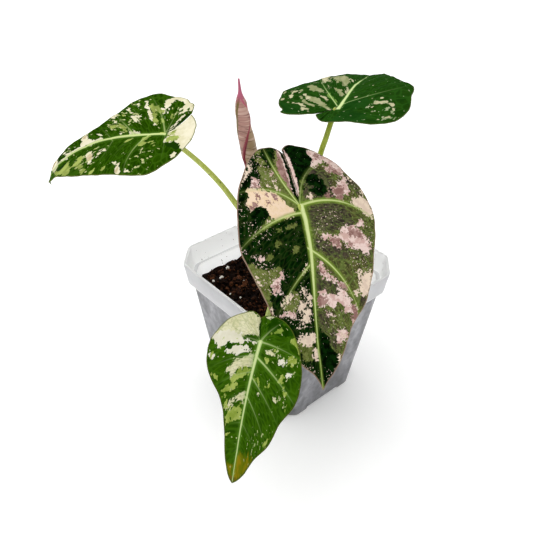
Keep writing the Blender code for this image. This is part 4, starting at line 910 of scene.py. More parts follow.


# Patches of each colour on the flat leaves, drawn as outlines through points "across,along" in mm, with a
# stroke between two outlines of the same colour. Flecks are where freckles are thick.
PATCHES = {
    # In the front leaf's dark outlines, the narrow strip along the slit, from -0.6 to -3.4 across and down to
    # -36 along, is painted shadow of the gap where one lobe laps the other. The rest is dark tissue.
    "front": """
    olive: -18.3,33 -19,36 -21,38 -24,41 -27,42.5 -26,45 -28,48 -30,49.5 -32.5,44 -35,38 -37,33 -37.5,31
    -34,30.5 -32,32.5 -29,34 -26,33.5 -23,34 -20,32.5 / -10.5,46 -10,49 -11,52 -13.5,55 -16,55.8 -19,55
    -20.5,52 -18.5,50.5 -15.5,49 -14,46 -13,44.8 / -4,71.5 -5,75 -4.5,79.5 -8,80 -11.5,79.5 -12,76
    -14,73.5 -14.5,70 -10,69 -5,70 / -2,3 -9.5,3 -13,-2 -16,-5.5 -20,-6.5 -23.5,-7 -23.3,-10 -22.5,-12
    -21.5,-14.5 -21.8,-17 -22,-20 -19,-21.5 -15,-20.5 -11.5,-20.5 -11,-22 -9.5,-26 -8,-30 -6,-34 -4,-35.5
    -3,-28 -3,-12 -2.5,-3 / -15.5,-22 -19,-22.3 -21.7,-23.5 -21.3,-26.3 -18,-27.4 -15.7,-25 / -14.5,-32.5
    -17,-29.3 -20.5,-28 -19.5,-30.3 -17,-32.3 / -13,8.2 -19,11.2 -23,13.8 -26.5,14.8 -26.3,12.3 -23.5,9.3
    -22,7.4 -17,8 / -4,11 -7,12.8 -10,13.4 -12.6,14.5 -13,13 -11,11.8 -8.5,10.6 -5,10 / -15.7,21 -18,22.9
    -20.3,22.9 -20,20.3 -17.5,19.2 / -5.2,23.4 -7,25.8 -9,26.7 -10.9,25.2 -9.7,23.6 -7.5,22.2 -5.5,22 /
    -15,13.5 -16,15.8 -18.8,15.3 -17.5,13.3 / -22.3,28.6 -26,29.8 -28.3,29.2 -25,26.8 -22.7,26.2 /
    -27.5,52.5 -30,48 -28,47.5 -26,50
    khaki: 0,64 1.5,66 3,67.5 4.5,69 5,72 5.5,75 7,76.5 9,79 8.5,85 11,82 15,74 18,67 23,62 28,55 33,48
    36,38 40,26 44,15 43,3 40,-8 35,-15 30,-22 25,-28 20,-32 14.5,-35 12.6,-33 13.5,-30.5 14.5,-28 13,-25
    11.5,-22 8.5,-18.7 6,-16.6 3.6,-14 2.8,-10 1.9,-5.3 0,-1
    brown: 3.5,3.5 8,1.5 14,0.7 20,1 24,4 27,8 28,11 25,12.5 20,12 15,15 9,15 5,14 3.7,9 / 4,18 10,20
    13,24 20,26 24,28 18,30 12,28 7,25 4,22 / 7,-3 14,-3 20,-2 22,-5 19,-9 20,-15 14,-20 9,-19 6,-16
    3.5,-9 5,-5 / 2,40 4,36 7,39 12,43 15,44 13,48 9,48 4,46 2,44 / 1,56 4,57 6,62 4,67 1.5,64 / 25.5,50
    28.5,50.5 27.5,54 25,53 / 33,30 36.5,29 35.5,26 33,28 / 33,-14 29,-17 28,-13 33,-9 37,-5 39,-8 / 22,28
    32,30 33,24 28,27 / 7,66 11,72 8,76 5,71
    pink: 34,28.5 31,28.8 28.5,26 25.5,25.7 22.5,25 22,22.5 20.3,21.5 19.5,20 18.3,19.8 16,18.3 13.5,19
    10,20.2 8.2,17.5 9.5,16.3 12.5,17.4 15.5,17.5 19.5,16.5 20,14 21.5,13 22.5,14.3 23,12 25,12.2 27,12.8
    29.5,12.6 30,15.5 32,16 33.3,18 34,20 35.9,20.5 36.2,23 35.6,26 / 34,13.2 31,13.5 30.8,10.5 33.5,9
    35,10.8 / 18,24.8 16,25.3 14.5,22.7 12.5,21 13.5,19 16,18.3 18.4,19.8 / 24.7,-1 21.8,-1.5 21.3,-5
    20,-7 20.3,-8.6 23,-10.2 24.5,-12.8 27,-12.3 27,-14.7 29.5,-16.8 30.9,-15 29.4,-12 30.8,-10 29.3,-7.5
    30,-4.3 27,-4 25,-3.8 / 30.3,-16.8 25,-17.3 21.3,-17.6 20.9,-19 19.3,-18.8 19.8,-21.2 22,-21.7
    23.7,-22.5 23.3,-24.8 20,-25.5 17.7,-23.8 16,-21.8 14.5,-21.2 12.2,-22.3 12.7,-25 14.2,-28 13.2,-30.5
    12.5,-33.5 14.5,-35 18,-33.3 22,-29.8 26,-25.9 29,-22 31.4,-18.8 / 18.8,63.7 19,60 18,58.7 16,57.7
    14.3,56.6 14.8,54.6 13,53.7 11.5,52.8 10,54.3 7.5,54.5 6,53.3 4,53.6 1.8,53.6 0.8,51 1.8,49.3 4.2,48
    2.7,46 5,45.2 6.7,47.8 9,48 11.5,48 13.3,48.2 13.7,46 15.5,45 18.2,48 17.2,50.5 18.7,52 18.2,53.4
    20,54.2 21.8,55 22.8,58 22.3,61.3 / 17.8,46.3 15,45.8 13,43.8 11,41.8 9,40.3 6.3,39.8 5.2,37.6 4.2,35
    4.2,32.4 5.6,30.7 6.8,33 8.2,35.9 9.8,37.8 12.2,40.2 14.6,41.7 17.2,42.2 18.3,44 / 16.2,71 12.5,71.4
    10.3,73.3 9.7,70 9.7,66.8 12.5,65.7 15.2,66.8 15.8,69 / 10.2,58.7 7,57.7 4.3,55.7 4.8,58.4 8,59.9 /
    25.3,60.8 19,66.3 18.2,64.4 23,59.3 / -23.3,-7.3 -26,-7.8 -28.2,-8.3 -28,-12 -27,-14.3 -25,-13.3
    -22.3,-12.1 -22.8,-10 / -20.8,46.3 -24.8,46.3 -23.3,44.5 -24.3,42.7 -27.3,42.4 -24.7,39.7 -22,38.2
    -20,37.7 -18.3,34.2 -17.7,36 -20.2,40 -21.2,43 / -12.2,56 -14,57.8 -17,57.8 -19.5,56.8 -22.5,56.1
    -20,55 -17,54.5 -15,55.5 / -26.3,29 -28.5,30.1 -32.3,30.1 -32.8,27.8 -30,26.9 -28,27.7 / -12,-12
    -14.5,-11.5 -15,-13.2 -12.5,-14 / -14.5,-15 -16.8,-15.3 -13.5,-18.3 -12.3,-18 -15,-16.5 / -16.3,-15
    -17,-16.3 -15.5,-16.5 / -36,25.5 -37.6,23.2 -38.4,23 -37.6,26
    peach: -4,5.3 -6,6.3 -10,7.3 -14,8.3 -17,8.3 -19.5,7.6 -20.9,7.2 -21.6,5.5 -22.2,4 -24,2.9 -26.5,2.4
    -28.5,3.2 -30,5.7 -31.5,5.2 -31.7,3.5 -32.8,1.5 -33.3,-0.2 -31.6,-0.6 -31.2,-3 -31.5,-5.7 -30,-7.2
    -27,-7.5 -24,-7.2 -21,-6.7 -18,-6.2 -14,-5 -12,-3.2 -10.5,-1.2 -9.5,0.5 -7,1.5 -5,2.5 -3.8,4
    cream: -31.8,-6.8 -34.2,-7.9 -32.5,-10.3 -30.7,-9 / -31.7,-11.7 -30.7,-14 -28.2,-17.2 -26.2,-20.2
    -25.2,-23 -23.7,-20.5 -25.3,-17.8 -28.3,-14.2 -30,-12.2 / -4.5,60.3 -8,60.3 -11.3,59.7 -8.7,58.4
    -8.2,56.6 -9,55.2 -12.3,54.7 -11.3,52.5 -9,49.7 -7.5,51.2 -6,50.7 -7.6,53.4 -6.5,54.3 -4.6,54.3
    -3.2,53 -1.8,50 -2.8,47.2 -5,47.2 -5.7,49 -4.7,51 -3.2,52.5 -3.8,55 -3.8,57.2 -5.3,57.3 -4.8,59 /
    -5.3,47.2 -7.5,46.3 -8.3,43.8 -6,44.2 / -13.8,45.8 -14.8,48.5 -17.3,50.2 -19.3,52.3 -21.8,52.3
    -20.2,50 -18.2,47.3 -16,45.5 / -2.6,65.8 -2.5,70.2 -5,71.2 -8.5,73.4 -10.5,71.8 -12,70.2 -14.2,69.7
    -14.8,67.7 -12,67.5 -9,66.2 -7,66.7 -5,66.2 / -2.2,79.9 -4.7,79.3 -5.2,76.5 -4.2,73.3 -2.3,74.3
    -1.8,77 / -6.8,61 -9,63 -10.3,61 / -11,64.5 -14.3,62.3 -13.5,61.8 / -20,9.9 -22.8,10.4 -22.3,8.8
    -19.5,8.8 / -11,-6.3 -13,-7 -15.3,-9.8 -13.5,-9.8 / -17.5,-8 -19.3,-9 -18.5,-10.3 -17.3,-9.3 /
    -25,56.5 -27.5,53 -27.8,51.8 -25.5,53.5 / -31,42 -33.3,38.5 -33.3,37 -31.8,38.5 / 41.8,9.8 39.5,9 37,7
    34.5,4 31.5,1.5 29,0.2 30.5,-1.7 32.5,-3.2 35,-1.7 36,-3.2 38,-3.2 40.8,-1.5 42,2 / 33.8,36.8 34.4,40
    33,44 31,48 29.8,50.3 26,50.3 24.8,48 24.3,46 26,43.8 27.5,43.3 28,42.2 26,42.2 25.3,40.3 28,40.3
    29.5,38.8 31,37.2 / 24.2,50.3 21.8,50.3 20.7,48.3 23,47.2 / 28.2,39.7 26,40.2 24.7,38 27,36.2 /
    13.8,70.3 11,67.5 10.6,66.8 12.5,67.5 / 7.6,-1.7 6.5,-1.2 5,-3.5 5.8,-5.2 7.2,-6.3 8,-4 / 8.3,84.8
    9,82 8.7,79 10.3,77.8 10,81 / -1.9,31.3 -2.3,33.2 -3.2,34.9 -5,36.3 -7,36.4 -5.2,34.9 -3.6,33.2
    -2.6,31.5 / 39.5,-4.5 36.5,-6 36.2,-7.5 39.3,-6.5 / 34,-12 31.2,-13.5 30.5,-16 33,-15
    mauve: 24.6,24.8 22.3,24.2 22,20.3 24.7,20.3 / 30.2,20.8 29,18.9 26,19.7 23.8,17.2 23.2,13 26,13.3
    28,15.3 31.7,16 32.8,19 / 18,24.5 16,25 14.5,22.5 12.7,21 13.5,19.3 16,18.6 18.2,20 / 24.7,-1.3
    21.8,-1.8 21.3,-5 20.1,-7.5 24,-10.2 27.3,-8.7 26.8,-4.8 25,-3.8 / 30,-16.8 22,-17.3 20.8,-19
    20.3,-21.7 23,-20.7 26,-19.7 28.2,-18.7 / 20.3,-27.3 15.7,-28.3 16.7,-32.3 19.8,-30.7 / 22.5,61.3
    19,62.8 18.6,59 18.8,54.8 21,54.8 22.5,57.5 / 6.5,52.7 4,53.5 1.3,52.8 0.7,51 1.8,49.2 4.5,48.2 7,48.8
    / 18.3,45.8 14,44.8 11.8,41.5 15,41.7 18.3,43.3 / 7.5,38.5 5,37.5 4.3,33.5 6,34 / -18.8,1.5 -21.7,0.8
    -20.7,-1.8 -18.3,-1 / -14.8,-0.7 -17.2,-1.8 -16.7,-4.8 -14.3,-4.2 -14,-2 / -19,-2.8 -22.5,-5.3
    -20,-5.3 / -26.3,0.3 -28.3,-2 -26.7,-5.3 -24.2,-4.2 / -26.8,2.4 -30,4.3 -31.8,3 -30.2,1.2 -27.3,0.5 /
    -24,-7.3 -27.3,-7.8 -27.2,-10.7 -24.3,-10.5 / -2.6,-2.3 -4.6,-6 -6.2,-10 -7.8,-14 -9.4,-18 -9.4,-21
    -8.3,-25 -6.2,-29 -5,-32 -4,-35.5 -2.8,-35.5 -2.6,-31 -2.8,-25 -3.3,-18 -3.6,-12 -2.8,-6 / 15,-2.3
    17.3,-2.3 18.3,-5 18.8,-8 17,-6.8 15.3,-4.7 / -22,44 -23.8,42.8 -22.5,40 -20.5,40.5
    rim: -2.4,-4 -3.6,-8 -4.4,-14 -4.3,-20 -3.9,-26 -3.6,-35.5 -6.5,-35.5 -2.6,-35.5 -2.4,-30 -2.6,-20
    -2.9,-12 / -0.5,-4 1.1,-7 1.4,-14 1.8,-22 2,-30 1.3,-37 -0.5,-37
    dark: 0.3,95 4,92 8,86 8.8,82 9,79 7,76.5 5.5,75 5,72 4.5,69 3,67.3 1.5,65.8 0.4,63 / 2.2,-14
    3.6,-14.6 6,-17 8.5,-19.2 11.5,-22.6 12.8,-25 14.4,-28 13.3,-30.5 12.7,-33 13.5,-37 7,-43 1.2,-40
    2.2,-30 1.9,-22 1.5,-15 / 14.5,-4.3 12.5,-3.8 10.5,-4.8 9.3,-6.3 7.5,-6.8 5.7,-7.7 6.5,-8.8 9,-8.8
    10,-9.2 9.5,-10.6 7,-10.7 5.9,-12.5 6.2,-15 8,-17.2 10.5,-17.8 13,-17.5 14.2,-16 13.5,-14.8 15.2,-14.7
    16.3,-12 16.9,-9 16.7,-6.5 / 4.7,-8.2 3.6,-8.5 3.2,-11 4.2,-12 / -21.3,6.8 -22.3,8.3 -25,9.4 -28,10.7
    -30.3,9.7 -31.8,7.5 -30.6,5.8 -29,3.5 -26.5,2.4 -24,2.9 -22,4.2 / -0.2,-1.5 -1.7,-2.5 -3,-5.5 -3.4,-12
    -3.2,-20 -2.7,-28 -2.5,-36 -0.6,-36 -0.6,-20 / -21.3,-13.5 -23,-12.6 -25,-13.8 -27.5,-14.2 -28,-9
    -30,-7.5 -32,-5 -34,-3 -35,-8 -29,-13.5 -25,-18 -24,-24 -18,-21.8 -22.3,-19.5 -21.7,-16
    flecks: -1,66 -19,64 -23,57 -20,52 -12,42 -2,40 -2,50 / 20,34 24,42 35,40 37,26 26,26 20,28 / -9,-7
    -16,-7 -22,-9 -22,-18 -14,-20 / -12,-10 -26,-16 -34,-8 -36,-14 -24,-30 -14,-33 / -28,10 -38,6 -36,18
    -30,24 -20,18 -22,9 / 1,56 16,58 17,66 14,78 3,68 / 1,84 9,84 6,92 1,94 / -2,80 -4,90 -12,84 -14,78 /
    -20,30 -36,24 -36,36 -30,46 -24,48 -20,40 / 36,8 41,14 39,26 36,18 30,8 / -12,36 -21,36 -21,40 -8,39 /
    30,-4 42,-2 36,-18 27,-16 / 20,-10 27,-12 22,-17 17,-13 / -34,8 -38,10 -38,-2 -33,0 / 3,28 12,28 10,12
    24,10 22,2 5,4""",
    "low": """
    cream: -0.6,8 -0.6,13 -2,13 -4,13.6 -6,15.5 -7.5,18 -8.5,21 -9.2,19.5 -9.6,18.1 -11.3,17.1 -10.5,14.8
    -8.6,12.3 -6,9.8 -4,8.7 -2.3,6.8 -0.8,4.6 / -0.3,30.3 -1.1,28 -0.6,24.7 -2,24.8 -3.5,26.7 -5,28
    -6.7,30.8 -8.3,33.8 -6,32.3 -4.4,29.3 -3,28.3 -1.9,28.1 / -1.2,-2.2 -3.5,-2.3 -6.5,-1 -9,0.2 -8,2.3
    -11,3.3 -14,4 -17,5.8 -19.5,4.6 -22.6,3.5 -22.3,1.5 -20.8,-3 -18.2,-7.3 -14.7,-10.8 -11,-13 -7.5,-14
    -4.3,-12.8 -2.9,-11.3 -2.4,-9 -1.9,-6 -1.4,-4 / 9,5 7,5.5 5.4,4.8 3.3,5.2 3.3,4.1 5.3,3.2 7,3.9 /
    2,-12 0.5,-11.9 -0.3,-13 1,-14.2 3.2,-14 / 15.1,25.3 13.9,26.9 12.7,26.2 11.5,24.2 13.5,24.3 /
    5.8,25.2 4,25.2 4.4,23.8 5.6,24.3 / 4,55.2 2.3,55 2.5,52.8 4,52.8 / -15,11.9 -16.8,11.6 -15.4,10.9
    white: -1,1.2 -3,1.7 -6,1.9 -7.5,3.2 -9,4.1 -11,4.1 -13,4.5 -15.5,5.3 -17.5,6.7 -18,8.1 -18.9,6.5
    -19.7,5.2 -21,4.3 -22.5,3.7 -22.4,1.5 -20,0.5 -16,-1 -12,-1.7 -9,-0.7 -8.5,0.4 -6,0.8 -3,0.9 -1,0.5 /
    -2.8,4.9 -4.5,6.7 -7,7.9 -9.5,8.5 -12,9.1 -14.5,7.7 -12.7,6.8 -12,6 -11.7,4.8 -9,4.4 -6,4.2 / 13.8,8.4
    12.5,9.5 10.8,8.9 10.3,7.6 12,6.4 13.5,7 / 18.5,14 17.3,15.3 16.3,14 16.9,12.5 18.2,12.8 / -14.5,6.8
    -16.8,6.2 -15.5,5.8 / -19.8,12.8 -21.3,11.3 -19.6,10.5 -18.8,12
    pale: -0.6,37 -3,37.8 -5,38.6 -7.2,38.9 -7.2,36 -5.7,33.3 -4,31.2 -1.5,30.7 -0.6,30.8 / -1.2,14.6
    -2.9,17.8 -5,20.2 -6.5,22.2 -7.6,23.7 -8.7,22 -7.6,18 -6,15.3 -4,13.2 -2,12.6 / 15.5,9.3 16.8,8.2
    18.2,7.7 18.9,6 18.2,4.2 16,3.7 14.3,4.8 14,6.5 15.3,7.5 / 9.8,-7.5 7.5,-5.5 5,-4.5 3.2,-4.2 4.8,-6.1
    6.5,-7.8 8,-9.1 9.2,-9 / -5.2,22.8 -7,24.8 -9,25.9 -11.3,26.4 -10,24.6 -8,23.6 -6.5,22.9 / -14.8,22.4
    -16.7,20.8 -18,19.2 -16,19.7 -14.6,21.2 / 18.8,0 16,-1 14,-3.5 15.3,-5.5 17.9,-2 / 8.9,3 6.8,3 7,1.8
    8.6,1.8 / 6.2,9.2 4.3,9 4.8,7.3 5.5,8.3 / -20,12.9 -21.4,12 -20.6,10.6 -19.5,11.5 / 19.1,29.8
    17.8,29.2 18,27 19.2,28 / 17.5,23.3 16.2,22.2 15.6,20.4 17.2,21.4 / 17,28.3 15.9,26.6 15.3,25.7
    16.5,26.7 / 9.7,21.3 6.8,21.2 8.5,20 / 4.8,20.8 3,18.8 1.7,17.3 3.5,18.2 / 12.2,48 12.9,44 12.9,40
    12.3,43 / -4,43.5 -6.2,44.3 -5,41.7 / 6.2,-11.2 4.6,-11 4.6,-12.8 6.2,-12.8 / 14.8,16.7 12.8,17.9
    12.8,15.8 12.3,14.6 15.2,14.2 / -8,34 -9.5,31.5 -8.3,30.2 -7.5,32.5 / -9,29.8 -10.3,28 -9.3,27.5
    yellow: 0.5,63 3,60.5 5.2,56 5.2,53 2.5,51.5 1,56 / -0.5,63 -2,60.5 -3,58 -1,57
    brown: 0,64.5 1.8,62.5 1.2,60.8 -0.4,60.5 -2,61.8 -1.6,63
    dark: -0.8,0.1 -3,0.9 -6,0.7 -9,0.1 -6.5,-0.9 -3.5,-2 -1.3,-1.5 / 1.5,-3 4,-4.5 7,-4.8 10,-4 13,-5.5
    14,-8 10,-11 6,-13 2,-13 1,-8 / -13,4.6 -15,6 -14.3,7.5 -12.4,6.7 -12.1,5.6 / -0.2,-0.5 -1.4,-2.5
    -2.1,-6 -2.8,-10.5 -1.5,-11 -0.2,-8
    lime: 9.6,-7.5 8,-5.8 6,-4.7 3.8,-4.3 5,-5.9 7,-7.7 8,-9.1
    flecks: -5,25 -11,25 -10,34 -6,34 / 12,12 19,12 19,17 12,17 / 8,0 20,2 19,10 10,10 3,4 / 14,20 20,22
    19,31 12,28 / -17,3 -22,3 -22,8 -12,8 / 3,44 14,36 12,46 6,56""",
    "left": """
    cream: 9.9,-0.3 8.5,0.3 6,0.3 5.3,-1 3.7,-1.8 3.1,-3 1.5,-1.7 0,-1.2 -1,-2.8 -4,-6.8 -8,-11.8
    -10.3,-15.8 -5,-18 0,-19 6,-19.5 13,-18 18.5,-15 21.5,-12 19,-10.7 16,-10 13.5,-8.8 12.2,-6.8
    10.8,-4.8 10,-3.3 / 26.3,-5.2 23,-5.2 20.2,-5.8 20.2,-8.2 22.5,-9 24.7,-7.6 / 31.3,21.6 28,22.4
    25.5,21.8 23.4,23.9 21,24.9 23,22.2 25.5,20.4 28.5,19.9 31.9,20.2 / 31.8,15.9 29.4,17.3 28.7,16.1
    31.1,15.2 / 15.3,33.6 12,35 8.8,35.3 7.7,34 11,33 / 10.3,30.8 8.6,33.1 7.2,32.3 8.9,30.7 / 17.8,39
    14.5,40.3 9,42.5 5.8,43.9 4.7,41.3 8,38.8 12,37.3 14.6,36.2 17.1,37.3 / -13.7,2.3 -16,3 -19.8,2.9
    -18.7,0.5 -15,0.4 / -12,-0.2 -15,0.6 -18,0.3 -20,1.3 -25,1 -27.8,-0.3 -28.7,-2.7 -31,-3 -29.5,-6
    -27.5,-9.5 -25.5,-12.5 -22,-14.7 -18,-17.3 -13,-17.5 -11.7,-15.8 -13.4,-14.8 -14.8,-13.4 -13.8,-12
    -13.2,-11 -14.8,-9.9 -15.3,-8 -16,-7.3 -17.6,-9.8 -19.6,-11.7 -22,-10.2 -24,-8 -26,-5.7 -26.8,-5
    -24,-4.2 -21,-2.3 -19,-1.6 -16,-1 / -0.6,-0.6 -3,-2.7 -5.5,-5.4 -7.7,-7 -9.8,-9.3 -11.3,-12
    -11.3,-14.3 -10.2,-12.2 -9,-10 -6.5,-8 -4,-5.5 -1.3,-2.2 / -11.8,-7.3 -14.2,-8.8 -14.3,-12 -13,-14.3
    -12.5,-11 -12.5,-9 / -16.7,18.8 -18.5,21.8 -21.7,22.9 -22.3,21.9 -20,20.3 -18,19 / -21.8,14.8
    -24.6,17.4 -25.3,16.2 -23,14.4 / -15,29.8 -18.2,31.4 -19.4,29 -17.5,27.7 -16.5,29.2 / -7.8,27.8
    -9.5,30.4 -11.4,31.8 -10,28.8 -8.5,27 / -10,25.8 -13,28.8 -16.3,30.3 -13,27.5 / -8.7,15.8 -12,17.8
    -15.3,19.3 -13,16.8 -10,15.2 / -7.7,14.3 -12,16.3 -15.3,17.8 -12,15 / -1.2,12.6 -2.8,15 -4,17.5
    -5.3,20.4 -3,19.3 -1.2,20.5 -0.6,17 / -13,13.2 -15,15.9 -15.5,13.8 / -10.8,10.2 -14.2,12.8 -13.2,10.8
    / -2,24 -4.5,26.5 -4,24.8 / -5,35.7 -7,38.3 -8.2,38.3 -6.6,35.7 / -0.8,73 -1.5,76 -3.4,74.4 -5,77.5
    -7.5,79 -8.7,75 -9.4,71 -5.5,69.2 -3,68.7 -1.2,69.2 / -2.6,69.3 -2.6,60 -2,49.8 -4.3,49.8 -3.9,55
    -4.2,60 -4.7,66 -5.3,68.8 / -2.4,50.8 -6,49.8 -10.8,49.4 -11.8,46 -9.3,45.2 -7,43.7 -5,41.7 -4,39.8
    -3.6,35.5 -2,34 -1.6,42 / -4,61.3 -7.3,64.4 -6.2,61.8 / -4.8,56.8 -8.3,60.3 -6.7,57.2 / -3.3,52.3
    -5,55.3 -4.6,52.8 / 12.3,59.7 9,62.3 6.2,63.8 9,60.7 / -5.8,5.1 -8,7.2 -11,8.6 -15,9.6 -19,10.6 -22,12
    -26.2,12.3 -26.8,10.9 -23,10.2 -19,8.8 -14,7.8 -10,6.3 -7.5,5.2
    pale: -5.8,4.2 -7.5,5.3 -10,6.4 -14,7.9 -19,8.9 -23,10.3 -24.5,9.5 -24.2,8 -22.5,6.2 -20.2,4.8
    -19.9,2.3 -16,2.8 -16.2,4.4 -16,5.7 -13,4.8 -9,4 -7.5,3 / 2,7.3 4.5,8 7,8.8 10,9.3 11.5,10.1 13.4,11.3
    12.3,12.6 10,12.8 8,11.8 5.5,12.3 2.3,11.9 1.5,9.5 / 9,-0.8 6,-1.3 4.8,-3 3.3,-4 3.8,-7 6,-9 9,-9
    10.5,-6.5 9.7,-3.5 / 3.2,-2.8 1,-2 -0.5,-3.3 -2.8,-7.3 -0.5,-6.8 2.2,-5.2 / 11.7,3.8 9,4.2 7.7,6
    9.5,7.3 11.2,5.6 / 14.6,5.6 13.2,4.5 14.3,4.4 / -6.8,2.9 -9,1.8 -11.7,2.5 -10,1 -8,0.8 / -8.3,27.3
    -9,30.2 -10.7,31.3 -10.7,28.3 / -16.3,23 -17.7,25.3 -17,23.2 / 4.2,17.8 2.5,19.2 0.8,19.6 2.5,17.7 /
    18.8,53.6 16.5,51.7 14,52.2 11,53.2 8.5,54.2 6,55.7 4,56.7 2.7,58.5 5,59.6 6.8,60.2 6.3,62 4.7,64.3
    2.8,66.3 0.8,68.3 -0.3,70 0.5,72.3 3,70.8 6,67.8 9.7,64.3 12.3,61.2 14.8,58.7 16.8,56.2 / 16,44.8
    12,44.1 8,44.4 5.7,45.8 5,48.7 7,49.3 10,47.8 13,47.3 16.5,46 / 5.8,21.2 4,20.8 3,19.4 0.8,19.6
    3.4,17.5 4.8,18.1 3.9,19.4 5.9,20.1 / 5.8,38 3,38.3 1.7,37 4.5,36.5 / 26.8,36.3 25,35.9 23.7,33.8
    25.6,33.7 / 27.3,29.2 25.5,29.9 23.7,27.8 26,27.5 / -2.6,21.8 -6,22.8 -9,24.8 -12.3,27.5 -10,24.2
    -7,21.8 / -8.7,-3.3 -11,-2.7 -13.7,-2.7 -14.3,-4 -11.5,-5.3 / -13.8,2 -14.5,3 -17,5.3 -19.7,5 -20,2.4
    / 18,52.5 15.3,57.2 12.3,61.3 9.7,65.3 6.3,68.5 2.2,71.5 -0.5,73.3 -0.3,70.4 2.9,67.2 5.8,64.3
    6.8,61.9 5.4,59.8 2.8,58.9 3.9,56.7 7,55.2 10,54.2 12.5,52.7 15.6,51.6 / 15.8,44.9 13.6,47.3 10,48.3
    5.9,49.9 4.7,47 6.3,44.7 10,43.7 13,44.2 / 17.3,46 14,48.8 11,50.8 7.6,51.8 11,49.1 14,46.8 /
    23.9,41.4 21,43.3 17.4,45.1 16.2,43.4 19,41.2 22.7,39.9
    tan: -6.5,46.3 -8,48.8 -10.5,48.6 -11,46.5 -8.8,45.8 / 16.5,39 13,39.8 9,41 8,39.5 13,37.6 / -5,76.5
    -7.3,78 -8.3,74.5 -7,72 -5,73.5 / 31,21 28,21.8 26,21 28.3,20.3
    dark: 6.5,61 6.2,64 3,67.2 -0.5,69.3 -1.3,62 0.8,60 4,58.6 / -4.6,70.4 -7.6,70.6 -8.6,67 -6,63.7
    -4.7,66 / -1.6,-2.6 -4.2,-5.8 -6.7,-8.3 -9.2,-10.3 -10.6,-13 -10.6,-15.6 -8,-12 / 9.3,-0.8 13,-3 11,-6
    14,-9 20,-11 15,-2
    flecks: -3,12 -25,12 -32,24 -25,36 -3,35 / 2,30 14,30 24,36 20,50 2,50 / -3,52 -9,52 -8,64 -5,64 /
    -8,-2 -20,-3 -20,-8 -12,-8 / 12,4 32,2 34,16 28,18 16,14""",
